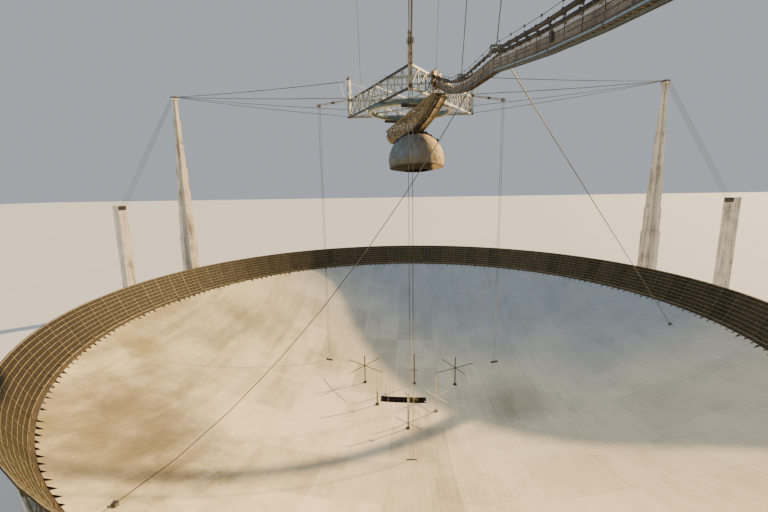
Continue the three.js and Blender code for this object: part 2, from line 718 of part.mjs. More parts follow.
function buildCatwalk(parent) {
  const direction = catwalk.toward.clone().sub(catwalk.from).normalize();
  const across = v(-direction.y, direction.x, 0);
  const route = new THREE.CatmullRomCurve3(
    catwalkFloor.map(([s, z]) => catwalk.from.clone().addScaledVector(direction, s * metre).setZ(z * metre)),
  );
  const steps = 18;
  const runTo = (p) => Math.hypot(p.x - catwalk.from.x, p.y - catwalk.from.y);
  const floorLine = route.getPoints(steps).map((p) => [runTo(p), p.z]);
  const floorAt = (s) => {
    const run = s * metre;
    const past = floorLine.findIndex(([reach]) => reach >= run);
    const i = past < 0 ? steps : Math.max(1, past);
    const [s0, z0] = floorLine[i - 1];
    const [s1, z1] = floorLine[i];
    return z0 + ((z1 - z0) * (run - s0)) / (s1 - s0);
  };
  const spot = (s, sideways, rise) =>
    catwalk.from.clone().addScaledVector(direction, s * metre).addScaledVector(across, sideways)
      .setZ(floorAt(s) + rise);

  // The face of the platform truss that the footbridge lands on.
  const along = nearRightFace;
  const outward = v(along.y, -along.x, 0);
  const faceGap = platform.chord / 2 + seatGap;
  const half = catwalk.width / 2;

  // Trough: a floor and two walls swept along the route, with a landing beam on the truss.
  const trough = [];
  const inWalls = half - catwalk.sheet / 2; // the floor ends inside the walls and a little above their feet
  for (const [x0, x1, low, high] of [
    [-inWalls, inWalls, catwalk.sheet / 4, catwalk.sheet],
    [-half, -half + catwalk.sheet, 0, catwalk.wall],
    [half - catwalk.sheet, half, 0, catwalk.wall],
  ])
    trough.push(sweptRectangle(floorLine, direction, x0, x1, low, high));
  const beamMiddle = catwalk.from.clone().addScaledVector(outward, faceGap + 0.3 * metre).setZ(160.2 * metre);
  trough.push(bar(beamMiddle.clone().addScaledVector(along, -5 * metre),
    beamMiddle.clone().addScaledVector(along, 5 * metre), 0.6 * metre, 0.8 * metre, outward));
  const pastDepth = 8 * metre;
  const pastMiddle = catwalk.from.clone().addScaledVector(outward, faceGap - pastDepth / 2);
  pastMiddle.setZ(platform.top);
  const pastFace = solidOf(bar(pastMiddle.clone().addScaledVector(along, -20 * metre),
    pastMiddle.clone().addScaledVector(along, 20 * metre), pastDepth, 30 * metre, outward));
  const troughGeometry = geometryOf(joined(trough).subtract(pastFace));
  place(parent, "catwalk_trough", troughGeometry, steelColour);

  // Two thick cables over the walls, joined under the trough by a frame every few bays.
  const carrier = [];
  const out = half + 0.4 * metre;
  const carrierHalf = 0.16 * metre;
  for (const sign of [-1, 1])
    carrier.push(sweptRectangle(floorLine, direction, sign * out - carrierHalf, sign * out + carrierHalf,
      catwalk.cableRise, catwalk.cableRise + 2 * carrierHalf));
  const thin = 0.2 * metre;
  const frames = { first: 6, last: 162, pitch: 21.6 };
  for (let s = frames.first; s < frames.last; s += frames.pitch) {
    for (const sign of [-1, 1])
      carrier.push(bar(spot(s, sign * out, -thin), spot(s, sign * out, catwalk.cableRise + thin / 2), thin));
    carrier.push(bar(spot(s, -out - thin / 2, -thin / 3), spot(s, out + thin / 2, -thin / 3), thin));
  }
  const underTrough = solidOf(troughGeometry.clone().translate(0, 0, -seatGap));
  const hung = joined(carrier).subtract(pastFace).subtract(underTrough);
  place(parent, "catwalk_cables", geometryOf(hung), armColour);

  // The pier under the footbridge's landing.
  const landing = spot(166, 0, 0);
  const head = 3.4 * metre;
  const pierTop = floorAt(168) - seatGap;
  const pier = [
    block(-head, head, -head, head, pierTop - 1.2 * metre, pierTop),
    block(-2.4 * metre, 2.4 * metre, -2.4 * metre, 2.4 * metre, floorZ, pierTop - metre),
  ];
  place(parent, "catwalk_pier", fused(pier.map((g) => g.translate(landing.x, landing.y, 0))), concreteColour);

  // Hangers from the near tower's head down to yokes over the carrier cables.
  const headSpot = v(2 * metre, -tower.radius + 1.8 * metre, tower.top + 0.7 * metre);
  const hangers = [block(1.7 * metre, 2.3 * metre, -tower.radius - metre, -tower.radius + 2.2 * metre,
    tower.top + seatGap, tower.top + 1.2 * metre)];
  const yokeRise = catwalk.cableRise + 1.4 * metre;
  for (const s of [61, 97.5]) {
    hangers.push(rod(headSpot, spot(s, 0, yokeRise), cableRadius));
    hangers.push(bar(spot(s, -out - thin, yokeRise), spot(s, out + thin, yokeRise), 1.5 * thin));
    for (const sign of [-1, 1])
      hangers.push(bar(spot(s, sign * out, catwalk.cableRise + carrierHalf), spot(s, sign * out, yokeRise),
        thin, thin, across));
  }
  const overCables = joined(hangers).subtract(hung.translate([0, 0, seatGap]));
  place(parent, "catwalk_hangers", geometryOf(overCables), cableColour);

  // Side guys from the trough down to the bowl.
  const guys = {
    left: [79.3, -69.9, -123.9, 11.9, 1],
    right: [103.5, 140, 8, 0.3, 1],
  };
  for (const [name, [s, x, y, sag, rise]] of Object.entries(guys)) {
    const start = spot(s, 0, rise * metre); // the part inside the trough is cut away, up to its wall
    const walls = bar(spot(s - 5, 0, catwalk.wall / 2), spot(s + 5, 0, catwalk.wall / 2),
      catwalk.width + 2 * seatGap, catwalk.wall + metre, across);
    const end = v(x * metre, y * metre, bowlHeight(Math.hypot(x, y) * metre) + 0.9 * metre);
    const foot = block(-0.6 * metre, 0.6 * metre, -0.6 * metre, 0.6 * metre, -metre, 0.4 * metre);
    foot.translate(end.x, end.y, end.z);
    const rope = saggingCable(start, end, sag * metre, 0.12 * metre, 8);
    const guy = joined([foot, rope]).subtract(underOuter).subtract(solidOf(walls));
    place(parent, `wind_guy_${name}`, geometryOf(guy), cableColour);
  }
}

// A rectangle swept along the footbridge's floor line, from one distance to another across it.
function sweptRectangle(floorLine, direction, x0, x1, low, high) {
  const outline = new THREE.Shape();
  floorLine.forEach(([run, z], i) => (i ? outline.lineTo(run, z + low) : outline.moveTo(run, z + low)));
  for (const [run, z] of [...floorLine].reverse()) outline.lineTo(run, z + high);
  outline.closePath();
  const prism = new THREE.ExtrudeGeometry(outline, { depth: x1 - x0, bevelEnabled: false });
  const up = v(0, 0, 1);
  const outward = direction.clone().cross(up);
  const frame = new THREE.Matrix4().makeBasis(direction, up, outward);
  frame.setPosition(catwalk.from.clone().addScaledVector(outward, -x1));
  return prism.applyMatrix4(frame);
}

function buildFooting(parent) {
  const radius = 0.9 * metre;
  const top = -bowlThickness - seatGap;
  const pier = new THREE.CylinderGeometry(radius, radius, top - floorZ, 16).rotateX(Math.PI / 2);
  place(parent, "centre_footing", pier.translate(0, 0, (top + floorZ) / 2), concreteColour);
}

const structure = new THREE.Group();
structure.position.z = bowlLift;
telescope.add(structure);

buildFooting(structure);
buildBowl(structure);
buildRim(structure);
buildMasts(structure);
for (const [side, angle] of Object.entries(towerAngles)) buildTower(structure, side, angle);
buildPlatform(structure);
buildCatwalk(structure);

const turningArm = new THREE.Group();
turningArm.rotation.z = arm.azimuth;
structure.add(turningArm);
buildArm(turningArm);

const domeGroup = new THREE.Group();
domeGroup.position.z = curveRadius;
domeGroup.rotation.x = -domeZenith;
turningArm.add(domeGroup);
buildDome(domeGroup);

const houseGroup = new THREE.Group();
houseGroup.position.z = curveRadius;
houseGroup.rotation.x = -houseZenith;
turningArm.add(houseGroup);
buildHouse(houseGroup);

export default telescope;
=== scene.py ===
import math

import bmesh
import bpy
import numpy as np
from mathutils import Matrix, Vector


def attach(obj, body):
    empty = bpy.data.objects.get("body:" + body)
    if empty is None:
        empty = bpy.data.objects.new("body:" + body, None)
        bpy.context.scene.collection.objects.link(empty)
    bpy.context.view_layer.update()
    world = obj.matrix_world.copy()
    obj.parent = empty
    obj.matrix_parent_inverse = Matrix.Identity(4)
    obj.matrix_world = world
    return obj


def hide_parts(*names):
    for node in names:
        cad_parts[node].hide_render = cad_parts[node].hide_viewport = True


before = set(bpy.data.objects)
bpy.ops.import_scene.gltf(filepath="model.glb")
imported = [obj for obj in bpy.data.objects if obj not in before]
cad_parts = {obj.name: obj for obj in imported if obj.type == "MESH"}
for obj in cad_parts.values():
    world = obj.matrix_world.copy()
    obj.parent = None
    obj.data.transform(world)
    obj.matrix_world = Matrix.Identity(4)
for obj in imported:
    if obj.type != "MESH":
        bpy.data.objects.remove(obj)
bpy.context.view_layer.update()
print("frame loaded:", len(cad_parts), "nodes")

# The model is 1:20. All places and sizes below are full-size metres above the bowl's lowest point.
site = {
    "scale": 1 / 20,
    "lift": 0.3,  # model metres from the floor up to the bowl's lowest point
    "curveRadius": 265.2,
    "apertureRadius": 152.4,
    "bays": 96,
    "floor": -6.0,
    "towerAngles": {"near": -90, "right": 30, "left": 150},
}
toModel = Matrix.Translation((0, 0, site["lift"])) @ Matrix.Scale(site["scale"], 4)
centre = Vector((0, 0, site["curveRadius"]))
curveRadius = site["curveRadius"]
rimZ = curveRadius - math.sqrt(curveRadius**2 - site["apertureRadius"]**2)


def bowlHeight(r):
    return curveRadius - math.sqrt(curveRadius**2 - r * r)


def polar(r, degrees, z=0.0):
    turn = math.radians(degrees)
    return Vector((r * math.cos(turn), r * math.sin(turn), z))


def turnZ(degrees):
    return Matrix.Rotation(math.radians(degrees), 4, "Z")


class Shape:
    # gathers points and faces in full-size metres and becomes one object
    def __init__(self, turn=None):
        self.points, self.faces, self.turn = [], [], turn or Matrix()

    def add(self, points, faces):
        base = len(self.points)
        self.points += [Vector(p) for p in points]
        self.faces += [[base + i for i in face] for face in faces]

    def loft(self, rings, closed=False):
        # rings of equally many points, joined into a skin with a cap at each end
        n = len(rings[0])
        faces = []
        count = len(rings)
        for k in range(count if closed else count - 1):
            a, b = k * n, ((k + 1) % count) * n
            faces += [[a + i, a + (i + 1) % n, b + (i + 1) % n, b + i] for i in range(n)]
        if not closed:
            faces += [list(range(n))[::-1], [(count - 1) * n + i for i in range(n)]]
        self.add([p for ring in rings for p in ring], faces)

    def beam(self, a, b, width, height=None, side=None):
        a, b = Vector(a), Vector(b)
        along = (b - a).normalized()
        across = Vector(side) if side is not None else Vector((0, 0, 1)).cross(along)
        if across.length < 0.05:
            across = Vector((1, 0, 0))
        across = (across - along * across.dot(along)).normalized()
        up = along.cross(across)
        w, h = across * width / 2, up * (height or width) / 2
        self.loft([[p - w - h, p + w - h, p + w + h, p - w + h] for p in (a, b)])

    def chain(self, places, width, height=None, side=None):
        for a, b in zip(places, places[1:]):
            self.beam(a, b, width, height, side)

    def block(self, low, high, turn=None):
        corners = [Vector((x, y, z)) for z in (low[2], high[2])
                   for x, y in ((low[0], low[1]), (high[0], low[1]), (high[0], high[1]), (low[0], high[1]))]
        if turn:
            corners = [turn @ p for p in corners]
        self.loft([corners[:4], corners[4:]])

    def tube(self, route, radius, sides=6):
        route = [Vector(p) for p in route]
        rings = []
        for i, p in enumerate(route):
            along = (route[min(i + 1, len(route) - 1)] - route[max(i - 1, 0)]).normalized()
            across = along.orthogonal() if abs(along.z) > 0.99 else Vector((0, 0, 1)).cross(along)
            across.normalize()
            up = along.cross(across)
            rings.append([p + across * radius * math.cos(t) + up * radius * math.sin(t)
                          for t in (2 * math.pi * k / sides for k in range(sides))])
        self.loft(rings)

    def make(self, name, paint, body="structure", slot="platform_steel", replaces=()):
        matrix = np.array(toModel @ self.turn)
        places = np.array([tuple(p) for p in self.points]) @ matrix[:3, :3].T + matrix[:3, 3]
        mesh = bpy.data.meshes.new(name)
        mesh.from_pydata(places.tolist(), [], self.faces)
        return dress(mesh, name, paint, body, replaces)


def dress(mesh, name, paint, body, replaces):
    # turns the faces outwards, gives the piece its finish, hangs it on its body and hides the CAD nodes that
    # it replaces
    surface = bmesh.new()
    surface.from_mesh(mesh)
    bmesh.ops.recalc_face_normals(surface, faces=surface.faces)
    surface.to_mesh(mesh)
    surface.free()
    piece = bpy.data.objects.new(name, mesh)
    bpy.context.scene.collection.objects.link(piece)
    mesh.materials.append(finish[paint])
    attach(piece, body)
    if replaces:
        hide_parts(*replaces)
    return piece


# Finishes

def tint(code):
    # a web colour as the linear one that a shader takes
    values = [int(code[i:i + 2], 16) / 255 for i in (1, 3, 5)]
    return tuple(v / 12.92 if v <= 0.04045 else ((v + 0.055) / 1.055)**2.4 for v in values) + (1.0,)


class Wire:
    # a socket that takes part in sums: each operator adds its Math node
    def __init__(self, finish, socket):
        self.finish, self.socket = finish, socket

    def maths(self, operation, *terms):
        return self.finish.node("ShaderNodeMath", {"operation": operation}, dict(enumerate(terms)))

    def __add__(self, other):
        return self.maths("ADD", self, other)

    def __radd__(self, other):
        return self.maths("ADD", other, self)

    def __sub__(self, other):
        return self.maths("SUBTRACT", self, other)

    def __rsub__(self, other):
        return self.maths("SUBTRACT", other, self)

    def __mul__(self, other):
        return self.maths("MULTIPLY", self, other)

    def __rmul__(self, other):
        return self.maths("MULTIPLY", other, self)

    def __truediv__(self, other):
        return self.maths("DIVIDE", self, other)

    def __pow__(self, other):
        return self.maths("POWER", self, other)

    def __abs__(self):
        return self.maths("ABSOLUTE", self)

    def whole(self):
        return self.maths("FLOOR", self)

    def part(self):
        return self.maths("FRACT", self)

    def root(self):
        return self.maths("SQRT", self)

    def most(self, other):
        return self.maths("MAXIMUM", self, other)


class Finish:
    # one material, and the ways in which this script adds nodes to it
    def __init__(self, name, metallic=0.0, roughness=0.6):
        self.material = bpy.data.materials.new(name)
        self.material.use_nodes = True
        self.tree = self.material.node_tree
        self.shader = self.tree.nodes["Principled BSDF"]
        self.shader.inputs["Metallic"].default_value = metallic
        self.shader.inputs["Roughness"].default_value = roughness
        local = self.node("ShaderNodeTexCoord", out="Object")
        size = 1 / site["scale"]
        self.place = self.node("ShaderNodeVectorMath", {"operation": "MULTIPLY_ADD"},
                               {0: local, 1: (size, size, size), 2: (0, 0, -site["lift"] * size)})
        self.x, self.y, self.z = (self.node("ShaderNodeSeparateXYZ", None, {0: self.place}, out=k)
                                  for k in range(3))

    def node(self, kind, settings=None, inputs=None, out=None):
        made = self.tree.nodes.new(kind)
        for key, value in (settings or {}).items():
            setattr(made, key, value)
        for key, value in (inputs or {}).items():
            if isinstance(key, int):
                socket = made.inputs[key]
            else:
                socket = next(s for s in made.inputs if s.name == key and s.enabled)
            if isinstance(value, Wire):
                self.tree.links.new(value.socket, socket)
            else:
                socket.default_value = value
        if out is None:
            return Wire(self, next(s for s in made.outputs if s.enabled))
        return Wire(self, made.outputs[out])

    def stretched(self, across, along, up):
        return self.node("ShaderNodeVectorMath", {"operation": "MULTIPLY"},
                         {0: self.place, 1: (across, along, up)})

    def noise(self, size, detail=3.0, rough=0.55, stretch=None):
        place = self.stretched(*stretch) if stretch else self.place
        return self.node("ShaderNodeTexNoise", None,
                         {"Vector": place, "Scale": 1 / size, "Detail": detail, "Roughness": rough})

    def dice(self, *numbers):
        # one random number from 0 to 1 for each whole-number cell
        cell = self.node("ShaderNodeCombineXYZ", None, dict(enumerate(numbers)))
        return self.node("ShaderNodeTexWhiteNoise", {"noise_dimensions": "3D"}, {"Vector": cell}, out="Value")

    def fade(self, value, low, high):
        return self.node("ShaderNodeMapRange", {"interpolation_type": "SMOOTHSTEP"},
                         {"Value": value, "From Min": low, "From Max": high})

    def mix(self, factor, first, second, way="MIX"):
        return self.node("ShaderNodeMix", {"data_type": "RGBA", "blend_type": way, "clamp_factor": True},
                         {"Factor": factor, "A": first, "B": second})

    def shaded(self, colour, shade):
        grey = self.node("ShaderNodeCombineColor", None, {0: shade, 1: shade, 2: shade})
        return self.mix(1.0, colour, grey, "MULTIPLY")

    def paint(self, **links):
        for key, wire in links.items():
            self.tree.links.new(wire.socket, self.shader.inputs[key.replace("_", " ")])
        return self

    def bump(self, height, distance, strength=0.5):
        # distance in full-size metres
        normal = self.node("ShaderNodeBump", None, {"Strength": strength,
                           "Distance": distance * site["scale"], "Height": height})
        return self.paint(Normal=normal)


panel = {
    "across": 2.1,  # panel rows run along Y, each this wide
    "along": 1.05,
    "edge": 148.6,  # the rows end here, and the edge strip goes on from it
    "middle": 34,  # radius of the middle piece
    "thickness": 0.1,
    "unevenness": 0.014,
    "bigPatch": (25.2, 31.5), "patch": (8.4, 21),  # groups of panels that have weathered alike
    "cream": "#fdf1cf", "grey": "#cbbfa2", "blue": "#a0adb8", "moss": "#948d50", "umber": "#746850",
}
# where the bowl's large stained patches lie: paint, place, size and how dense they are; the umber ones low on
# the left are painted shade, and the one right of the middle is part stain and part painted shade
stainsAndShade = [("umber", (-104, -70), 30, 0.85), ("umber", (-84, -94), 38, 0.9), ("umber", (-118, 48), 22, 0.45),
          ("umber", (52, -16), 30, 0.5), ("moss", (-137, -24), 15, 0.75), ("moss", (-112, -98), 22, 0.4)]


def bowlFinish():
    f = Finish("bowl_panels", metallic=0.1, roughness=0.62)
    row, step = f.x / panel["across"], f.y / panel["along"]
    tone = f.dice(row.whole(), step.whole(), 0.5)
    rowTone = f.dice(row.whole(), 3.5, 0.5)
    (wideX, wideY), (shortX, shortY) = panel["bigPatch"], panel["patch"]
    bigPatch = f.dice((f.x / wideX + 0.37).whole(), (f.y / wideY).whole(), 1.5)
    patch = f.dice((f.x / shortX).whole(), (f.y / shortY + 0.5).whole(), 2.5)
    cloud = f.noise(60, 4)
    small = f.noise(9, 5, 0.6)
    streak = f.noise(6, 4, 0.6, (1, 0.12, 1))
    dirt = f.fade(f.x + cloud * 50, 0, -100) * 0.45
    patches = f.fade(bigPatch, 0.48, 0.52) * 0.5 + f.fade(patch, 0.7, 0.72) * 0.25
    patches = (patches * (1 - f.fade(f.x, 10, 60) * 0.65)).most(dirt)
    colour = f.mix(patches, tint(panel["cream"]), tint(panel["grey"]))
    shadeSide = f.fade(f.x * 0.5 + f.y * 0.8 + cloud * 60, 45, 135)
    colour = f.mix(shadeSide * 0.9, colour, tint(panel["blue"]))
    # large stained patches, with painted shade among them low on the left and right of the middle
    for paint, (x, y), size, dense in stainsAndShade:
        away = ((f.x - x)**2 + (f.y - y)**2).root() / size
        stain = f.fade(away + cloud * 0.9 - small * 0.5, 1.25, 0.35) * (0.45 + streak * 0.9)
        colour = f.mix(stain * dense, colour, tint(panel[paint]))
    moss = f.fade(small * 0.3 + cloud * 0.8 + streak * 0.2 - f.x / 500, 0.72, 1.0)
    colour = f.mix(moss * 0.35, colour, tint(panel["moss"]))
    # streaky umber soiling, heavier towards the lower left, where it is painted shade as well
    grimeAndShade = f.fade(streak * 0.55 + cloud * 0.5 + small * 0.15 - f.x / 800 - f.y / 900, 0.62, 1.0)
    colour = f.mix(grimeAndShade * 0.6, colour, tint(panel["umber"]))
    seam = f.fade(abs(row.part() - 0.5), 0.3, 0.5) * f.fade(f.noise(30, 2), 0.35, 0.6)
    joint = f.fade(abs(step.part() - 0.5), 0.38, 0.5)
    blotch = f.fade(f.noise(16, 6, 0.62), 0.45, 0.7)
    shade = 1 - tone * 0.05 - rowTone * 0.05 - seam * 0.09 - joint * 0.03 - blotch * 0.12
    spots = f.fade(f.noise(2.2, 2, 0.5), 0.74, 0.78) * f.fade(f.noise(24, 2), 0.52, 0.62)
    f.paint(Base_Color=f.shaded(colour, shade * (1 - spots * 0.4)),
            Roughness=0.55 + grimeAndShade * 0.25 + tone * 0.1)
    return f.bump(seam * -0.6 + small * 0.4, 0.05, 0.5).material


def weaveOf(f, across, up, wire):
    # 1 on the wires of a square mesh, and 0 in its gaps: wire is a share of the pitch
    return f.fade(abs(across.part() - 0.5).most(abs(up.part() - 0.5)), 0.5 - wire, 0.5 - wire / 2)


def meshFinish(name, wire, gap, colour, dark, cover):
    # the screen's woven mesh, see-through in its gaps by what cover leaves
    f = Finish(name, metallic=0.35, roughness=0.7)
    angle = f.node("ShaderNodeMath", {"operation": "ARCTAN2"}, {0: f.y, 1: f.x})
    weave = weaveOf(f, angle * (site["apertureRadius"] / gap), f.z / gap, wire)
    bay = f.dice((angle * (site["bays"] / (2 * math.pi))).whole(), 0.5, 0.5)
    rust = f.noise(6, 4, 0.6, (1, 1, 0.4))
    tone = f.mix(f.fade(rust + bay * 0.2, 0.4, 1.0), tint(colour), tint(dark))
    # painted shade: the mesh goes dark towards the left
    leftShade = f.fade(f.x + rust * 30, -75, -120)
    tone = f.mix(leftShade * 0.95, tone, tint(dark))
    f.paint(Base_Color=tone, Alpha=weave.most(cover + bay * 0.08))
    return f.bump(weave, 0.03).material


def fenceFinish(name, colour, dark, cover, wire=0.08, gap=0.3):
    # the footbridge's mesh, which runs along Y
    f = Finish(name, metallic=0.35, roughness=0.7)
    weave = weaveOf(f, f.y / gap, f.z / gap, wire)
    rust = f.noise(5, 4, 0.6)
    f.paint(Base_Color=f.mix(f.fade(rust, 0.4, 0.7), tint(colour), tint(dark)),
            Alpha=weave.most(f.fade(rust, 0.2, 0.8) * 0.15 + cover))
    return f.bump(weave, 0.03).material


sidePlatePaint = {"near": "#4a4d4c", "far": "#8a9ba3", "worn": "#55554c", "change": (-92, -112)}


def sidePlateFinish():
    # dark by the platform and blue-grey further out along Y
    f = Finish("side_plates", metallic=0.5, roughness=0.4)
    cloud, fine = f.noise(4, 3), f.noise(0.6, 4, 0.7)
    near, far, worn = (tint(sidePlatePaint[k]) for k in ("near", "far", "worn"))
    colour = f.mix(f.fade(f.y + cloud * 20, *sidePlatePaint["change"]), near, far)
    colour = f.mix(f.fade(fine, 0.55, 0.7) * 0.5, colour, worn)
    f.paint(Base_Color=colour, Roughness=0.35 + fine * 0.25)
    return f.bump(fine, 0.02).material


def wornSteel(f, base, worn, rust, roughness, rustShare, size):
    # two tones of weathered paint with rust coming through
    coarse, fine = f.noise(size, 5, 0.65), f.noise(size / 7, 4, 0.7)
    colour = f.mix(f.fade(coarse, 0.4, 0.62), base, worn)
    spots = f.fade(fine * 0.55 + coarse * 0.55, 0.78 - rustShare * 0.28, 0.86 - rustShare * 0.2)
    f.paint(Base_Color=f.mix(spots, colour, rust), Roughness=roughness - 0.08 + spots * 0.25 + fine * 0.1)
    return f.bump(fine * 0.6 + spots * 0.6, 0.02).material


def steelFinish(name, base, worn, rust, roughness=0.6, metallic=0.3, rustShare=0.5, size=3.0):
    f = Finish(name, metallic=metallic, roughness=roughness)
    return wornSteel(f, tint(base), tint(worn), tint(rust), roughness, rustShare, size)


def bandedFinish(name, low, high, edge, inBand, outside, rust, rustShare=0.3):
    # steel with another paint inside a band of heights
    f = Finish(name, metallic=0.3, roughness=0.6)
    band = f.fade(abs(f.z - (low + high) / 2), (high - low) / 2 + edge, (high - low) / 2)
    colour = f.mix(band, tint(outside), tint(inBand))
    worn = f.shaded(colour, 0.95 - f.noise(4, 2) * 0.3)
    return wornSteel(f, colour, worn, tint(rust), 0.6, rustShare, 3.0)


def concreteFinish(name, base, dark, lift):
    # cast concrete with a joint at each lift of the formwork, and streaks that run down
    f = Finish(name, roughness=0.88)
    joint = f.fade(abs((f.z / lift).part() - 0.5), 0.44, 0.5)
    streak = f.noise(2.2, 4, 0.6, (1, 1, 0.06))
    cloud, grain = f.noise(9, 4), f.noise(0.4, 3, 0.7)
    colour = f.mix(f.fade(streak * 0.7 + cloud * 0.5, 0.5, 0.85), tint(base), tint(dark))
    f.paint(Base_Color=f.shaded(colour, 1 - joint * 0.22 - grain * 0.14), Roughness=0.8 + grain * 0.15)
    return f.bump(grain * 0.5 - joint, 0.05).material


def cableFinish(name, base, dark, lay=0.35):
    f = Finish(name, metallic=0.5, roughness=0.5)
    strands = f.node("ShaderNodeTexWave", {"wave_type": "BANDS", "bands_direction": "DIAGONAL"},
                     {"Vector": f.place, "Scale": 1 / lay, "Distortion": 0.4})
    worn = f.noise(7, 3)
    f.paint(Base_Color=f.mix(f.fade(worn + strands * 0.15, 0.4, 0.75), tint(base), tint(dark)),
            Roughness=0.45 + worn * 0.25)
    return f.bump(strands, 0.01).material


tiePaint = {"above": "#2f2b27", "below": "#b7ab92", "change": (75, 50)}


def tieFinish():
    # dark wire rope above, paler lower down
    f = Finish("tie_ropes", metallic=0.4, roughness=0.55)
    worn = f.noise(5, 3)
    above, below = tint(tiePaint["above"]), tint(tiePaint["below"])
    colour = f.mix(f.fade(f.z + worn * 10, *tiePaint["change"]), above, below)
    f.paint(Base_Color=f.shaded(colour, 1.05 - worn * 0.3), Roughness=0.5 + worn * 0.2)
    return f.bump(worn, 0.01).material


# the paint is gone up to the height bare, to which the middle adds and from which the right side takes
mastPaint = {"brown": "#4a3a29", "cream": "#e6dcc0", "stain": "#6b5033", "bare": 7.4, "middleAdds": 3.5,
             "rightTakes": 10.3}


def mastFinish():
    # dark brown, with cream paint left on the upper part of the near ones
    f = Finish("mast_paint", metallic=0.2, roughness=0.6)
    brown, creamPaint, stained = (tint(mastPaint[k]) for k in ("brown", "cream", "stain"))
    distance = f.node("ShaderNodeVectorMath", {"operation": "LENGTH"},
                      {0: f.stretched(1, 1, 0)}, out="Value")
    above = f.z - distance * distance / (2 * curveRadius)
    stain = f.noise(1.5, 4, 0.65)
    adds = f.fade(f.x, -12, -8) * mastPaint["middleAdds"]
    bare = mastPaint["bare"] + adds - f.fade(f.x, 4, 8) * mastPaint["rightTakes"]
    cream = f.fade(above - bare + stain, 0.2, 0.8) * f.fade(f.y, 4, 0)
    colour = f.mix(cream, brown, creamPaint)
    colour = f.mix(f.fade(stain, 0.55, 0.7) * 0.4, colour, stained)
    f.paint(Base_Color=colour, Roughness=0.5 + stain * 0.3)
    return f.bump(stain, 0.02).material


domePaint = {"blue": "#66787f", "dull": "#525f66", "brown": "#6a5d4c", "low": "#4c4727", "bevel": "#1f1c15",
             "sunlitGold": "#e9cf95", "rust": "#a8763c", "lowHeights": (134, 127), "sunlitFrom": (9.5, 11.5)}


def domeFinish():
    # each triangular panel has a tone of its own, brown staining gathers low down, the underside bevel is
    # dark with painted shade, and the right side carries painted sunlight in a warm yellow with rust flecks
    f = Finish("dome_skin", metallic=0.1, roughness=0.6)
    blue, dull, brown, lowBrown, dark, sunlitGold, rust = (
        tint(domePaint[k]) for k in ("blue", "dull", "brown", "low", "bevel", "sunlitGold", "rust"))
    tone = f.node("ShaderNodeAttribute", {"attribute_name": "panelTone"}, out="Fac")
    cloud, fine = f.noise(7, 4, 0.6), f.noise(0.9, 4, 0.65)
    runs = f.noise(1.6, 4, 0.6, (1, 1, 0.12))
    colour = f.mix(tone, blue, dull)
    stained = f.fade(runs * 0.5 + cloud * 0.5 + fine * 0.15 + f.x / 50, 0.42, 0.75)
    colour = f.mix(stained * 0.8, colour, brown)
    low = f.fade(f.z + cloud * 7, *domePaint["lowHeights"])
    colour = f.mix(low * 0.8, colour, lowBrown)
    # painted shade: the panels of the underside bevel go dark
    bevel = f.node("ShaderNodeAttribute", {"attribute_name": "bevelShadeShare"}, out="Fac")
    colour = f.mix(bevel * 0.92, colour, dark)
    # painted sunlight: the right side turns warm yellow, flecked with rust
    sunlitSide = f.fade(f.x + cloud * 3 + (f.z - 130) * 0.25, *domePaint["sunlitFrom"])
    sunlitFlaked = f.mix(f.fade(fine * 0.5 + runs * 0.5, 0.5, 0.62), sunlitGold, rust)
    colour = f.mix(sunlitSide * 0.8, colour, sunlitFlaked)
    f.paint(Base_Color=colour, Roughness=0.55 + stained * 0.2 + fine * 0.1 + bevel * 0.25)
    return f.bump(fine * 0.5 + stained * 0.3, 0.02).material


def floorFinish():
    f = Finish("studio_floor", roughness=0.9)
    cloud = f.noise(60, 2)
    f.paint(Base_Color=f.mix(cloud, tint("#e4e3df"), tint("#dcdbd6")))
    return f.material


platform = {"radius": 38.1, "bottom": 154.2, "top": 162.8, "chord": 0.8, "bays": 10}
ring = {"radius": 19.7, "middle": 152.744, "depth": 2.1, "seams": 36, "seamHalf": 0.5, "seam": 0.1}


def trussFinish(name, chord, web):
    # the chords in one paint, the lacing between them in another
    inner = platform["chord"] / 2 + 0.05
    return bandedFinish(name, platform["bottom"] + inner, platform["top"] - inner, 0.05, web, chord,
                        "#5f4a34")


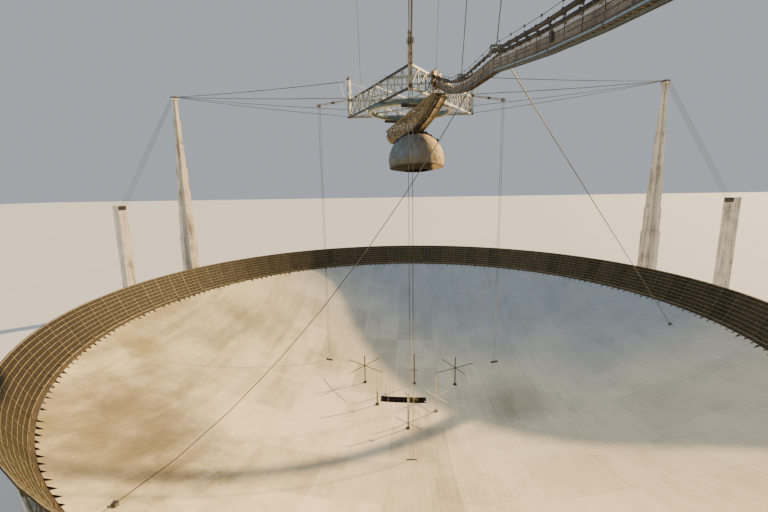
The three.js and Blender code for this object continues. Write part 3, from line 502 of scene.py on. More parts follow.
finish = {
    "bowl": bowlFinish(),
    "concrete": concreteFinish("concrete", "#e8e0cd", "#8a7f6d", 3.4),
    "ledge": concreteFinish("rim_ledge", "#4a3f2b", "#2f281c", 5.0),
    "screen": meshFinish("screen_mesh", 0.16, 0.6, "#3c331d", "#1c170c", 0.88),
    "rail": steelFinish("screen_rails", "#b0a47e", "#8f835c", "#54452a", rustShare=0.3),
    "screenPost": steelFinish("screen_posts", "#867a58", "#61563a", "#2d2416", rustShare=0.4),
    "mast": mastFinish(),
    "tie": tieFinish(),
    "cable": cableFinish("cables", "#6d6b65", "#3f3d39"),
    "paleCable": cableFinish("pale_rope", "#807a6d", "#655f53"),
    "rope": cableFinish("carrier_ropes", "#4a4038", "#2c2722"),
    "steel": steelFinish("platform_steel", "#a4aaa6", "#80867f", "#6f5a40", rustShare=0.25),
    "paleSteel": steelFinish("pale_steel", "#c6c9c4", "#a4a79e", "#7c6a50", rustShare=0.12),
    "leftTruss": trussFinish("left_truss", "#3d3b35", "#9fa094"),
    "rightTruss": trussFinish("right_truss", "#9d9c92", "#77766c"),
    "farTruss": trussFinish("far_truss", "#7e7c6e", "#a6a496"),
    # the cream band low on the ring is painted highlight, and the blue-grey above it painted shade
    "ring": bandedFinish("ring_highlight_and_shade", ring["middle"] - 2, ring["middle"] - 0.95, 0.2, "#c9c0a0", "#5d7175",
                         "#5c4d36", 0.4),
    "post": steelFinish("corner_posts", "#adb0ac", "#85877f", "#51493b", rustShare=0.4, size=1.6),
    # the left side of the arm: darker olive, painted shade
    "arm": steelFinish("arm_steel", "#6f6448", "#8c8262", "#3b3122", rustShare=0.5, size=1.4),
    # the right side of the arm: pale warm yellow, painted sunlight
    "sunlitArm": steelFinish("arm_sunlit_gold", "#ece0c4", "#b9a67c", "#43331f", rustShare=0.5, size=0.9),
    "paleArm": steelFinish("arm_cream", "#b5aa8c", "#8b8063", "#4f4029", rustShare=0.4, size=1.2),
    "dark": steelFinish("dark_steel", "#332e28", "#454039", "#211a13", rustShare=0.4),
    "track": steelFinish("track_steel", "#6f6857", "#575145", "#3b2d1e", metallic=0.6, roughness=0.45),
    "dome": domeFinish(),
    "house": steelFinish("house_panels", "#8d7f5e", "#6f6344", "#4a3824", rustShare=0.5, size=2.4),
    "machine": steelFinish("machinery", "#8a744c", "#6b583a", "#35281a", rustShare=0.5, size=1.0),
    "saddle": steelFinish("saddle_paint", "#7f8474", "#666a5c", "#4a4030", rustShare=0.3),
    "sidePlate": sidePlateFinish(),
    "deck": steelFinish("deck_grating", "#7b6a4d", "#5f513b", "#3a2c1c", rustShare=0.45, size=2.0),
    "fence": fenceFinish("footbridge_mesh", "#8d867a", "#5f564a", 0.5),
    "thinFence": fenceFinish("footbridge_upper_mesh", "#a39c8e", "#857c6c", 0.12),
}
print("finishes made")


# Reflector

slotPlan = {"low": (-15.8, -7.6), "high": (7.9, -1.2), "depth": 4.6, "wall": 0.15, "top": -0.1,
            "bars": 8, "bar": 0.2, "barHeight": -0.9, "rail": 0.16, "railHeight": -0.7, "railIn": 1.9}
# the winch box in the slot: body, lid and motor, each by its low and its high corner
winch = [((0.9, -5.4, -0.8), (2.7, -3.4, 1.3)), ((1.1, -5.2, 1.3), (2.5, -3.6, 1.45)),
         ((2.9, -5.0, -0.8), (3.9, -4.0, 0.8))]
tieDown = {"radius": 60.4, "hole": (1.3, 0.9), "trayLow": -2.4, "trayHigh": 3.2, "trayDrops": (0.5, 0.4)}


def buildReflector():
    # rows of panels on the true sphere, the last ones pulled in onto a circle
    across, along, edge = panel["across"], panel["along"], panel["edge"]
    ni, nj = int(edge / across) + 2, int(edge / along) + 2
    xs, ys = np.arange(-ni, ni + 1) * across, np.arange(-nj, nj + 1) * along
    x, y = np.meshgrid(xs, ys, indexing="ij")
    r = np.hypot(x, y)
    corner = r <= edge
    kept = corner[:-1, :-1] | corner[1:, :-1] | corner[:-1, 1:] | corner[1:, 1:]
    pull = np.minimum(1, edge / np.maximum(r, 1))
    x, y = x * pull, y * pull
    uneven = np.random.default_rng(11).normal(0, panel["unevenness"], x.shape)
    z = curveRadius - np.sqrt(curveRadius**2 - x * x - y * y) + uneven
    middleX, middleY = (x[:-1, :-1] + x[1:, 1:]) / 2, (y[:-1, :-1] + y[1:, 1:]) / 2

    def clear(low, high):
        return ~((middleX > low[0]) & (middleX < high[0]) & (middleY > low[1]) & (middleY < high[1]))

    kept &= clear(slotPlan["low"], slotPlan["high"])
    halfX, halfY = tieDown["hole"]
    for degrees in site["towerAngles"].values():
        foot = polar(tieDown["radius"], degrees)
        kept &= clear((foot.x - halfX, foot.y - halfY), (foot.x + halfX, foot.y + halfY))
    sector = (np.degrees(np.arctan2(middleY, middleX)) % 360 // 60).astype(int) + 1
    sector[np.hypot(middleX, middleY) < panel["middle"]] = 0
    top = np.stack([x, y, z], -1)
    down = np.array([0, 0, panel["thickness"]])
    for k in range(7):
        inside = set(map(tuple, np.argwhere(kept & (sector == k))))
        numbers, places, faces = {}, [], []

        def number(i, j, layer):
            # the corner's number in the mesh, on its top or its underside
            key = (i, j, layer)
            if key not in numbers:
                numbers[key] = len(places)
                places.append(top[i, j] - (down if layer else 0))
            return numbers[key]

        for i, j in inside:
            loop = [(i, j), (i + 1, j), (i + 1, j + 1), (i, j + 1)]
            faces.append([number(*c, 0) for c in loop])
            faces.append([number(*c, 1) for c in reversed(loop)])
            sides = [((i, j - 1), 0, 1), ((i + 1, j), 1, 2), ((i, j + 1), 2, 3), ((i - 1, j), 3, 0)]
            for neighbour, a, b in sides:
                if neighbour not in inside:
                    p, q = loop[a], loop[b]
                    faces.append([number(*q, 0), number(*p, 0), number(*p, 1), number(*q, 1)])
        mesh = bpy.data.meshes.new("panels")
        scaled = np.array(places) * site["scale"] + [0, 0, site["lift"]]
        mesh.from_pydata(scaled.tolist(), [], faces)
        name = f"reflector_panels_{k}" if k else "reflector_panels_middle"
        node = f"reflector_sector_{k}" if k else "reflector_centre"
        dress(mesh, name, "bowl", "structure", [node])


# width (as a share of the pitch) and depth hold the least value and how much more there may be
edgeStrip = {"outer": 151.0, "pitch": 4.2, "lap": 0.1, "thickness": 0.08, "drop": 0.03,
             "width": (0.28, 0.3), "depth": (0.9, 1.2), "shutShare": 0.08, "shut": (0.1, 0.4)}


def buildEdgeStrip():
    # the outermost panels, with a dark notch wherever a row ends short of the rim, where the dark plates
    # below show as painted shade
    strip = Shape()
    rng = np.random.default_rng(23)
    inner, outer = panel["edge"] - edgeStrip["lap"], edgeStrip["outer"]
    count = round(2 * math.pi * outer / edgeStrip["pitch"])
    thick = Vector((0, 0, edgeStrip["thickness"]))

    def at(r, step):
        return polar(r, step * 360 / count, bowlHeight(r) - edgeStrip["drop"])

    for i in range(count):
        wide, deep = (least + more * rng.random() for least, more in (edgeStrip["width"], edgeStrip["depth"]))
        if rng.random() < edgeStrip["shutShare"]:
            wide, deep = edgeStrip["shut"]
        shelf = [at(inner, i), at(inner, i + 1), at(outer, i + 1), at(outer, i + wide),
                 at(outer - deep, i + wide * 0.5), at(outer, i)]
        strip.loft([[p - thick for p in shelf], shelf])
    strip.make("reflector_edge_panels", "bowl", slot="bowl_panels")


net = {"pitch": 12.6, "drop": 0.45, "radius": 0.09, "edgeGap": 0.5,
       "tieRadius": 0.05, "tieEdgeGap": 3, "tieClear": 20, "footing": 0.5}


def buildNet():
    # the cable net that carries the panels from below, with a tie to the floor at each second crossing
    cables, ties = Shape(), Shape()
    pitch, drop, outer = net["pitch"], net["drop"], edgeStrip["outer"]
    floor, foot = site["floor"], net["footing"]
    count = int(outer / pitch)
    for k in range(-count, count + 1):
        offset = k * pitch
        half = math.sqrt((outer - net["edgeGap"])**2 - offset**2)
        steps = max(2, round(2 * half / pitch))
        for alongY in (False, True):
            route = []
            for i in range(steps + 1):
                t = -half + 2 * half * i / steps
                z = bowlHeight(math.hypot(offset, t)) - drop
                route.append((offset, t, z) if alongY else (t, offset, z))
            if k or alongY:
                cables.tube(route, net["radius"], 4)
        for m in range(-count, count + 1):
            x, y = offset, m * pitch
            r = math.hypot(x, y)
            if (k + m) % 2 == 0 and net["tieClear"] < r < outer - net["tieEdgeGap"]:
                ties.tube([(x, y, floor), (x, y, bowlHeight(r) - drop)], net["tieRadius"], 4)
                ties.block((x - foot, y - foot, floor), (x + foot, y + foot, floor + foot))
    cables.make("reflector_cable_net", "cable", slot="cables")
    ties.make("reflector_floor_ties", "cable", slot="cables")


ledge = {"inner": 151.2, "drop": 0.05, "thickness": 0.3, "gap": 0.02,
         "recessInner": 147.5, "recessDepth": 0.6, "recessThickness": 0.2}


def ringPlate(name, paint, slot, inner, outer, thickness):
    # inner and outer are its top corners, as radius and height, and its facets meet the bays' corners
    plate = Shape()
    bays = site["bays"]
    profile = [inner, outer, (outer[0], outer[1] - thickness), (inner[0], inner[1] - thickness)]
    plate.loft([[polar(r, 360 * i / bays, z) for r, z in profile] for i in range(bays)], closed=True)
    plate.make(name, paint, slot=slot)


def buildRimLedge():
    # the walk on the ring beam, and dark plates below the notched strip, partly edge beams and partly painted
    # shade of the gaps
    inner, outer, drop = ledge["inner"], site["apertureRadius"] - ledge["gap"], ledge["drop"]
    ringPlate("rim_ledge", "ledge", "concrete", (inner, bowlHeight(inner) - drop), (outer, rimZ - drop),
              ledge["thickness"])
    low, high = ((r, bowlHeight(r) - ledge["recessDepth"])
                 for r in (ledge["recessInner"], inner - ledge["gap"]))
    ringPlate("rim_edge_plates", "dark", "platform_steel", low, high, ledge["recessThickness"])


# low, high, backHigh and strutAt are shares of the screen's height
screenFrame = {"lean": 6.5, "rise": 15.0, "low": 0.01, "high": 0.985, "backHigh": 0.98,
               "rails": 8, "rail": 0.13, "endRail": 0.182, "lowestRail": 0.012, "post": 0.18, "thin": 0.06,
               "strut": 0.28, "shortStrut": 0.224, "strutAt": (0.62, 0.3), "foot": (2.9, 0.02),
               "stub": 1.7, "stubSize": 0.22, "stubFoot": (-0.35, -0.15)}


def buildScreenFrames():
    # rails on the dish's side of the mesh, posts behind it with raking struts, stub posts at the foot
    base = site["apertureRadius"]
    rise, lean, low, high = (screenFrame[k] for k in ("rise", "lean", "low", "high"))
    count, post, thin = (screenFrame[k] for k in ("rails", "post", "thin"))
    pitch, quarter = 360 / site["bays"], site["bays"] // 4
    slope = Vector((lean, 0, rise)).normalized()

    def onScreen(corner, share, off):
        # off counts from the mesh's inner face, towards the dish
        r = base + lean * share - off * slope.z
        return polar(r, corner * pitch, rimZ + rise * share + off * slope.x)

    def byRim(corner, place):
        return polar(base + place[0], corner * pitch, rimZ + place[1])

    for q in range(4):
        rails, posts = Shape(), Shape()
        for corner in range(quarter // 2 + q * quarter, quarter // 2 + (q + 1) * quarter):
            outwards = polar(1, (corner + 0.5) * pitch)
            for k in range(count + 1):
                share = min(max(k / count, screenFrame["lowestRail"]), high)
                size = screenFrame["endRail" if k in (0, count) else "rail"]
                rails.beam(onScreen(corner, share, size / 2), onScreen(corner + 1, share, size / 2),
                           size, size, outwards)
            for share in (1 / 3, 2 / 3):
                ends = [onScreen(corner, s, thin).lerp(onScreen(corner + 1, s, thin), share)
                        for s in (0, high)]
                posts.beam(*ends, thin, thin, outwards)
            outwards = polar(1, corner * pitch)
            posts.beam(onScreen(corner, low, post / 2), onScreen(corner, high, post / 2),
                       post * 0.7, post, outwards)
            posts.beam(onScreen(corner, low, -post), onScreen(corner, screenFrame["backHigh"], -post),
                       post, post * 1.2, outwards)
            foot = byRim(corner, screenFrame["foot"])
            upper, lower = (onScreen(corner, share, -post) for share in screenFrame["strutAt"])
            posts.beam(foot, upper, screenFrame["strut"])
            posts.beam(lower, foot, screenFrame["shortStrut"])
            stub = byRim(corner, screenFrame["stubFoot"])
            posts.beam(stub, stub + Vector((0, 0, screenFrame["stub"])), screenFrame["stubSize"])
        rails.make(f"screen_rails_{q + 1}", "rail", slot="screen_mesh")
        posts.make(f"screen_posts_{q + 1}", "screenPost", slot="screen_mesh")


def buildSlot():
    # the long service opening: dark walls down to a tray, painted shade in the opening, with bars across and
    # a small winch box
    (x0, y0), (x1, y1) = slotPlan["low"], slotPlan["high"]
    low, wall, bars = -slotPlan["depth"], slotPlan["wall"], slotPlan["bars"]
    pit, box = Shape(), Shape()
    pit.block((x0, y0, low), (x1, y1, low + wall))
    for a, b in (((x0, y0), (x1, y0 + wall)), ((x0, y1 - wall), (x1, y1)),
                 ((x0, y0), (x0 + wall, y1)), ((x1 - wall, y0), (x1, y1))):
        pit.block((*a, low + wall), (*b, slotPlan["top"]))
    z = slotPlan["barHeight"]
    for i in range(1, bars):
        x = x0 + (x1 - x0) * i / bars
        pit.beam((x, y0 + wall, z), (x, y1 - wall, z), slotPlan["bar"])
    z = slotPlan["railHeight"]
    for y in (y0 + slotPlan["railIn"], y1 - slotPlan["railIn"]):
        pit.beam((x0 + wall, y, z), (x1 - wall, y, z), slotPlan["rail"])
    # a dark tray under each hole that a tie-down goes through, painted shade that hides the lit floor below
    a, b = tieDown["trayLow"], tieDown["trayHigh"]
    for degrees in site["towerAngles"].values():
        foot = polar(tieDown["radius"], degrees)
        tray = [foot + Vector((x, y, 0)) for x, y in ((a, a), (-a, a), (-a, b), (a, b))]
        pit.loft([[(p.x, p.y, bowlHeight(p.length) - drop) for p in tray] for drop in tieDown["trayDrops"]])
    pit.make("slot_pit", "dark")
    for a, b in winch:
        box.block(a, b)
    box.make("slot_winch_box", "machine")


buildReflector()
buildEdgeStrip()
buildNet()
buildRimLedge()
buildScreenFrames()
buildSlot()
print("reflector and ground screen made")


# Towers, platform and ring

fittings = {"handrail": 1.1, "stile": 0.08, "rung": 0.05, "width": 0.5, "step": 0.6}


def handrail(shape, route, pitch=2.4, size=0.08):
    # posts with a top rail and a middle rail along a route of floor points
    up = Vector((0, 0, fittings["handrail"]))
    for a, b in zip(route, route[1:]):
        a, b = Vector(a), Vector(b)
        shape.beam(a + up, b + up, size)
        shape.beam(a + up / 2, b + up / 2, size * 0.8)
        count = max(1, round((b - a).length / pitch))
        for i in range(count + 1):
            p = a.lerp(b, i / count)
            shape.beam(p, p + up, size)


def ladder(shape, foot, head):
    across = Vector((fittings["width"] / 2, 0, 0))
    for side in (-across, across):
        shape.beam(foot + side, head + side, fittings["stile"])
    count = int((head - foot).length / fittings["step"])
    for i in range(1, count):
        p = foot.lerp(head, i / count)
        shape.beam(p - across, p + across, fittings["rung"])


tower = {"radius": 214, "top": 188.9, "capHalf": 2.15, "capDepth": 1.3, "webShare": 0.46, "steps": 6,
         "firstStep": 171.8, "stepHeight": 18.2, "topWidth": 3.6, "widen": 1.3, "ladderAt": 0.32,
         "ladderOff": 0.1, "landing": (1.0, 0.6, 0.05, 0.1), "posts": 1.6}
# dark blocks on the tower's head, each by its half width and its foot over the head
saddle = {"blocks": ((1.9, 0.02), (1.0, 0.6)), "taper": 0.7, "rise": 0.6}
anchor = {"face": 330.0, "plate": 0.1, "half": 3.3, "low": 99.8, "high": 103.8,
          "sockets": (-2.4, -0.8, 0.8, 2.4), "socketX": (328.3, 328.79), "socketZ": (101.5, 102.3),
          "socketHalf": 0.3}
square = ((-1, -1), (1, -1), (1, 1), (-1, 1))


def buildTowerFittings():
    # ladders and landings on each tower, a handrail on its head, and plates where its cables end
    r, top, cap, pitch = (tower[k] for k in ("radius", "top", "capHalf", "posts"))
    wide, out, back, thick = tower["landing"]
    for side, degrees in site["towerAngles"].items():
        s, plates = Shape(turnZ(degrees)), Shape(turnZ(degrees))
        corners = [(r + x * cap, y * cap, top) for x, y in square]
        handrail(s, corners[:2], pitch)
        handrail(s, corners[2:], pitch)
        for k in range(tower["steps"] + 1):
            step = tower["firstStep"] - k * tower["stepHeight"]
            high = step + tower["stepHeight"] if k else top - tower["capDepth"]
            low = step if k < tower["steps"] else site["floor"]
            width = tower["topWidth"] + tower["widen"] * k
            x = r - width * tower["ladderAt"]
            y = -width * tower["webShare"] / 2 - tower["ladderOff"]
            ladder(s, Vector((x, y, low)), Vector((x, y, high)))
            if k:
                s.block((x - wide, y - out, high), (x + wide, y + back, high + thick))
        s.make(f"tower_fittings_{side}", "steel")
        face, half = anchor["face"], anchor["half"]
        plates.block((face - anchor["plate"], -half, anchor["low"]), (face, half, anchor["high"]))
        (x0, x1), (z0, z1), half = anchor["socketX"], anchor["socketZ"], anchor["socketHalf"]
        for y in anchor["sockets"]:
            plates.block((x0, y - half, z0), (x1, y + half, z1))
        for half, lift in saddle["blocks"]:
            plates.loft([[(r + x * half * k, y * half * k, top + lift + rise) for x, y in square]
                         for k, rise in ((1, 0), (saddle["taper"], saddle["rise"]))])
        plates.make(f"anchor_plates_{side}", "dark")


cornerPosts = {side: polar(platform["radius"], a) for side, a in site["towerAngles"].items()}
platformSides = {"near_left": ("left", "near"), "near_right": ("near", "right"), "far": ("right", "left")}
# the gusset's corners count in bays along the side, and in metres from the chord
bracing = {"post": 0.13, "brace": 0.12, "inset": 0.3, "gusset": 0.23,
           "gussetPlan": ((-0.1, 0.35), (0.1, 0.35), (0.04, 1.1), (-0.04, 1.1))}


def buildBracing():
    # posts and half braces between the bars of each side, and gussets where bars meet a chord
    low, high, bays, inset = platform["bottom"], platform["top"], platform["bays"], bracing["inset"]
    middle = (low + high) / 2
    for name, (start, end) in platformSides.items():
        a, b = cornerPosts[start], cornerPosts[end]
        normal = Vector((b.y - a.y, a.x - b.x, 0)).normalized()

        def at(bay, z, off=0.0):
            p = a.lerp(b, bay / bays) + normal * off
            return Vector((p.x, p.y, z))

        s = Shape()
        for i in range(bays):
            s.beam(at(i + 0.5, low + inset), at(i + 0.5, high - inset), bracing["post"])
            if 0 < i < bays - 1:
                upper, lower = (i, i + 1) if i < bays / 2 else (i + 1, i)
                s.beam(at(i + 0.5, middle), at(upper, high - inset), bracing["brace"])
                s.beam(at(i + 0.5, middle), at(lower, low + inset), bracing["brace"])
        for i in range(1, bays):
            for z, sign in ((low, 1), (high, -1)):
                s.loft([[at(i + bay, z + sign * up, off) for bay, up in bracing["gussetPlan"]]
                        for off in (-bracing["gusset"], bracing["gusset"])])
        s.make(f"platform_bracing_{name}", "steel")


lacing = {"reach": 20.0, "half": 29.0, "bays": 8, "bar": 0.15, "thin": 0.13, "post": 0.16,
          "shares": (0.25, 0.5, 0.75), "lean": 9, "walkIn": 1.3, "walkEnd": 2, "walkUp": 0.35}


def buildInnerLacing():
    # lacing of the girders inside the triangle, with a handrail beside each
    low, high = platform["bottom"], platform["top"]
    reach, half, bays = lacing["reach"], lacing["half"], lacing["bays"]
    trusses, rails = Shape(), Shape()
    for degrees in site["towerAngles"].values():
        turn = turnZ(degrees)

        def on(x, y, z):
            return turn @ Vector((x, y, z))

        for i in range(bays):
            y0, y1 = (-half + 2 * half * k / bays for k in (i, i + 1))
            middle = (y0 + y1) / 2
            trusses.beam(on(reach, y0, high), on(reach, middle, low), lacing["bar"])
            trusses.beam(on(reach, middle, low), on(reach, y1, high), lacing["bar"])
            trusses.beam(on(reach, y1, low), on(reach, y1, high), lacing["thin"])
        for x in (platform["radius"] * share for share in lacing["shares"]):
            trusses.beam(on(x, 0, low), on(x, 0, high), lacing["post"])
            trusses.beam(on(x, 0, low), on(x + lacing["lean"], 0, high), lacing["thin"])
        y, z = half - lacing["walkEnd"], high + lacing["walkUp"]
        handrail(rails, [on(reach - lacing["walkIn"], side, z) for side in (-y, y)], size=0.06)
    trusses.make("platform_inner_lacing", "paleSteel")
    rails.make("platform_handrails", "paleSteel")


boom = {"height": 163.4, "root": 38.9, "tip": 60.4, "middleBlock": 1.15, "tipBlock": 1.5}
# collars on the corner posts, each by its middle's height and how tall it is
collars = {"near": ((154.7, 1.5), (163.1, 1.2), (166.5, 0.8), (170.5, 1.5), (173.9, 0.8)),
           "left": ((154.2, 0.9), (163.4, 1.1), (173.9, 0.7)), "right": ((154.2, 0.9), (163.4, 1.1))}
collar = {"x": (37.2, 39.0), "half": 0.9}
pin = {"x": 38.1, "y": 0.55, "z": (173.8, 175.2), "radius": 0.3}


def buildJoints():
    # collars and pins on the corner posts, and the blocks at the middle and the tip of each boom
    joints = Shape()
    (x0, x1), half, height = collar["x"], collar["half"], boom["height"]
    for side, degrees in site["towerAngles"].items():
        turn = turnZ(degrees)
        for z, tall in collars[side]:
            joints.block((x0, -half, z - tall / 2), (x1, half, z + tall / 2), turn)
        for x, size in (((boom["root"] + boom["tip"]) / 2, boom["middleBlock"]),
                        (boom["tip"] + 0.1, boom["tipBlock"])):
            joints.block((x - size * 0.8, -size / 2, height - size / 2),
                         (x + size * 0.8, size / 2, height + size / 2), turn)
        for y in (-pin["y"], pin["y"]):
            joints.tube([turn @ Vector((pin["x"], y, z)) for z in pin["z"]], pin["radius"])
    joints.make("platform_joints", "dark")


landing = Vector((11.3, -18.53, 0))
# machines by the footbridge's landing: place along the side, foot's height, width and height
machines = ((-3.6, 162.9, 1.7, 1.6), (-1.8, 163.2, 1.2, 2.3), (0.4, 163.2, 1.5, 1.2), (2.0, 162.9, 1.9, 1.9),
            (-4.2, 159.3, 1.3, 1.5), (-2.2, 158.2, 1.7, 2.0), (-0.2, 157.8, 1.2, 1.3), (1.2, 158.3, 1.5, 1.7),
            (-3.0, 161.0, 1.0, 1.2))
machineFrame = {"out": 0.9, "upperOut": 0.75, "pipe": 0.7, "pipeSize": 0.18, "legs": (-4.6, -1.2, 2.6),
                "leg": 0.3, "legFoot": (0, 0, 157.4), "legHead": (0.8, 0.5, 163.0)}
landingPost = {"low": 163.2, "high": 166.6, "off": 0.1, "size": 0.55, "bar": 0.3,
               "barEnds": ((-0.5, -0.2, 165.9), (0.6, 0.2, 165.9))}


def buildLanding():
    # the machines with their pipes and legs, and the dark post with its crossbar
    boxes, post = Shape(), Shape()
    rng = np.random.default_rng(5)
    along = (cornerPosts["right"] - cornerPosts["near"]).normalized()
    outward = Vector((along.y, -along.x, 0))
    for s, z, wide, tall in machines:
        out = machineFrame["upperOut" if z > platform["top"] else "out"]
        p = landing + along * s + outward * out + Vector((0, 0, z))
        size = Vector((wide / 2, wide * 0.4, 0)) * (0.9 + 0.2 * rng.random())
        boxes.block((-size.x, -size.y, 0), (size.x, size.y, tall), Matrix.Translation(p) @ turnZ(60))
        top = p + Vector((0, 0, tall))
        boxes.beam(top, top + Vector((0, 0, machineFrame["pipe"])), machineFrame["pipeSize"])
    for s in machineFrame["legs"]:
        foot, head = (landing + along * s + Vector(machineFrame[k]) for k in ("legFoot", "legHead"))
        boxes.beam(foot, head, machineFrame["leg"])
    boxes.make("platform_machinery", "machine")
    foot, head = (landing + Vector((landingPost["off"], 0, landingPost[k])) for k in ("low", "high"))
    post.beam(foot, head, landingPost["size"])
    post.beam(*(landing + Vector(end) for end in landingPost["barEnds"]), landingPost["bar"])
    post.make("landing_post", "dark")


pipe = {"y": -20.0, "z": 163.5, "spans": ((-10.7, 1.4), (2.7, 8.0)), "radius": 0.34, "flange": 0.48,
        "flangeHalf": 0.15, "flangeIn": 0.2}
rod = {"share": 0.6, "pole": (163.2, 165.4), "poleRadius": 0.09, "lamp": (165.2, 165.7), "lampRadius": 0.25,
       "bar": 164.6, "barHalf": (0.9, -0.5), "barRadius": 0.06}


def buildPipeAndRod():
    # the pale pipe over the near side, and the rod on the near left side
    s, mast = Shape(), Shape()
    y, z, half, inset = (pipe[k] for k in ("y", "z", "flangeHalf", "flangeIn"))
    for x0, x1 in pipe["spans"]:
        s.tube([(x0, y, z), (x1, y, z)], pipe["radius"], 10)
        for x in (x0 + inset, (x0 + x1) / 2, x1 - inset):
            s.tube([(x - half, y, z), (x + half, y, z)], pipe["flange"], 10)
    s.make("platform_pipe", "post")
    p = cornerPosts["left"].lerp(cornerPosts["near"], rod["share"])
    mast.tube([(p.x, p.y, z) for z in rod["pole"]], rod["poleRadius"], 6)
    mast.tube([(p.x, p.y, z) for z in rod["lamp"]], rod["lampRadius"], 8)
    dx, dy = rod["barHalf"]
    mast.tube([(p.x + side * dx, p.y + side * dy, rod["bar"]) for side in (-1, 1)], rod["barRadius"], 6)
    mast.make("platform_lightning_rod", "steel")


def buildRingDetails():
    s = Shape()
    half, count = ring["depth"] / 2 + 0.02, ring["seams"]
    for i in range(count):
        for side in (-1, 1):
            ends = [polar(ring["radius"] + side * half, (i + 0.5) * 360 / count, ring["middle"] + z)
                    for z in (-ring["seamHalf"], ring["seamHalf"])]
            s.beam(*ends, ring["seam"])
    s.make("ring_seams", "ring")


buildTowerFittings()
buildBracing()
buildInnerLacing()
buildJoints()
buildLanding()
buildPipeAndRod()
buildRingDetails()
print("towers and platform made")


# Turning arm, dome and carriage house

arm = {"azimuth": 14.5, "half": 45.2, "side": 2.7, "top": 150.5, "chord": 0.7, "track": 124.7, "bays": 12,
       "domeZenith": 4.8, "houseZenith": -18.7}
armTurn = turnZ(arm["azimuth"])
domeTurn, houseTurn = (armTurn @ Matrix.Translation(centre) @ Matrix.Rotation(math.radians(-arm[k]), 4, "X")
                       for k in ("domeZenith", "houseZenith"))
armTop = arm["top"] - arm["chord"] / 2
armReach = arm["half"] - arm["chord"] / 2
armSpots = [-armReach + 2 * armReach * i / arm["bays"] for i in range(arm["bays"] + 1)]


def trackHeight(y, inside=0.0):
    # inside is how far nearer the centre of curvature than the track's lower face
    return curveRadius - math.sqrt((arm["track"] - inside)**2 - y * y)


def alongTrack(x, inside, count=24):
    return [(x, y, trackHeight(y, inside)) for y in np.linspace(-armReach, armReach, count + 1)]


def makeOnArm(shape, name, paint, slot="arm_steel"):
    shape.make(name, paint, "azimuth_arm", slot)


girder = {"inside": 1.2, "width": 0.7, "thickness": 0.16, "plate": (0.45, 0.07, 0.35), "plateInside": 0.8,
          "platePitch": 2.2}
armLacing = {"inside": 0.7, "post": 0.11, "rail": 0.12, "brace": 0.09}


def buildArmSides():
    # finer lacing in both bows, and the lower girder with its cross plates
    dx, dy, dz = girder["plate"]
    for name, sign, paint in (("left", -1, "arm"), ("right", 1, "dark")):
        s, beams = Shape(armTurn), Shape(armTurn)
        x = sign * arm["side"]
        for y0, y1 in zip(armSpots, armSpots[1:]):
            middle = (y0 + y1) / 2
            low0, low1, lowMiddle = (trackHeight(y, armLacing["inside"]) for y in (y0, y1, middle))
            s.beam((x, middle, lowMiddle), (x, middle, armTop), armLacing["post"])
            s.beam((x, y0, (low0 + armTop) / 2), (x, y1, (low1 + armTop) / 2), armLacing["rail"])
            for y, low in ((y0, low0), (y1, low1)):
                for z in (lowMiddle, armTop):
                    s.beam((x, y, (low + armTop) / 2), (x, middle, z), armLacing["brace"])
        makeOnArm(s, f"arm_lacing_{name}", "paleArm")
        beams.chain(alongTrack(x, girder["inside"]), girder["width"], girder["thickness"])
        for y in np.arange(-armReach + 1, armReach, girder["platePitch"]):
            z = trackHeight(y, girder["plateInside"])
            beams.block((x - dx, y - dy, z - dz), (x + dx, y + dy, z + dz))
        makeOnArm(beams, f"arm_girder_{name}", paint)


sway = {"half": 2.4, "bar": 0.14, "cross": 0.16, "least": 3, "inside": 0.9, "side": (-2.3, -1.1),
        "sideInside": 1.0}
keel = {"rails": (-0.75, 0.65), "inside": 1.3, "width": 0.55, "height": 0.7,
        "rung": 0.2, "rungEnds": (-0.5, 0.4), "rungInside": 1.25, "pitch": 1.5}


def buildArmMiddle():
    # crossed frames between the bows wherever they are high enough, and the dark double keel
    s, rails = Shape(armTurn), Shape(armTurn)
    half, bar = sway["half"], sway["bar"]
    for y in armSpots:
        low = trackHeight(y, sway["inside"])
        if armTop - low < sway["least"]:
            continue
        middle = (low + armTop) / 2
        for z0, z1 in ((low, middle), (middle, armTop)):
            s.beam((-half, y, z0), (half, y, z1), bar)
            s.beam((half, y, z0), (-half, y, z1), bar)
        s.beam((-half, y, middle), (half, y, middle), sway["cross"])
    a, b = sway["side"]
    for y0, y1 in zip(armSpots, armSpots[1:]):
        z0, z1 = (trackHeight(y, sway["sideInside"]) for y in (y0, y1))
        s.beam((a, y0, z0), (b, y1, z1), bar)
        s.beam((b, y0, z0), (a, y1, z1), bar)
    makeOnArm(s, "arm_sway_frames", "paleArm")
    for x in keel["rails"]:
        rails.chain(alongTrack(x, keel["inside"]), keel["width"], keel["height"])
    for y in np.arange(-armReach + 0.6, armReach, keel["pitch"]):
        z = trackHeight(y, keel["rungInside"])
        rails.beam(*((x, y, z) for x in keel["rungEnds"]), keel["rung"])
    makeOnArm(rails, "arm_keel", "dark")


# start, length, size and share hold the least value and how much more there may be
plate = {"pitch": 1.15, "inside": 1.15, "thickness": 0.12, "outer": 2.3, "start": (1.1, 0.3),
         "length": (0.3, 0.5), "bar": ((1.0, 0.6), (2.4, 0.9)),
         "rails": (1.15, 2.2), "railInside": 1.05, "railSize": (0.22, 0.2)}
endDeck = {"half": 2.3, "length": 7, "low": 0.1, "high": 0.22, "rail": 0.3}
equipment = {"from": -33, "to": 35, "pitch": 4.6, "inside": 2.3, "leastTall": 0.5, "mostTall": 2.4,
             "headroom": 1.4, "size": (0.8, 0.7), "spread": 2, "share": (0.6, 0.4)}


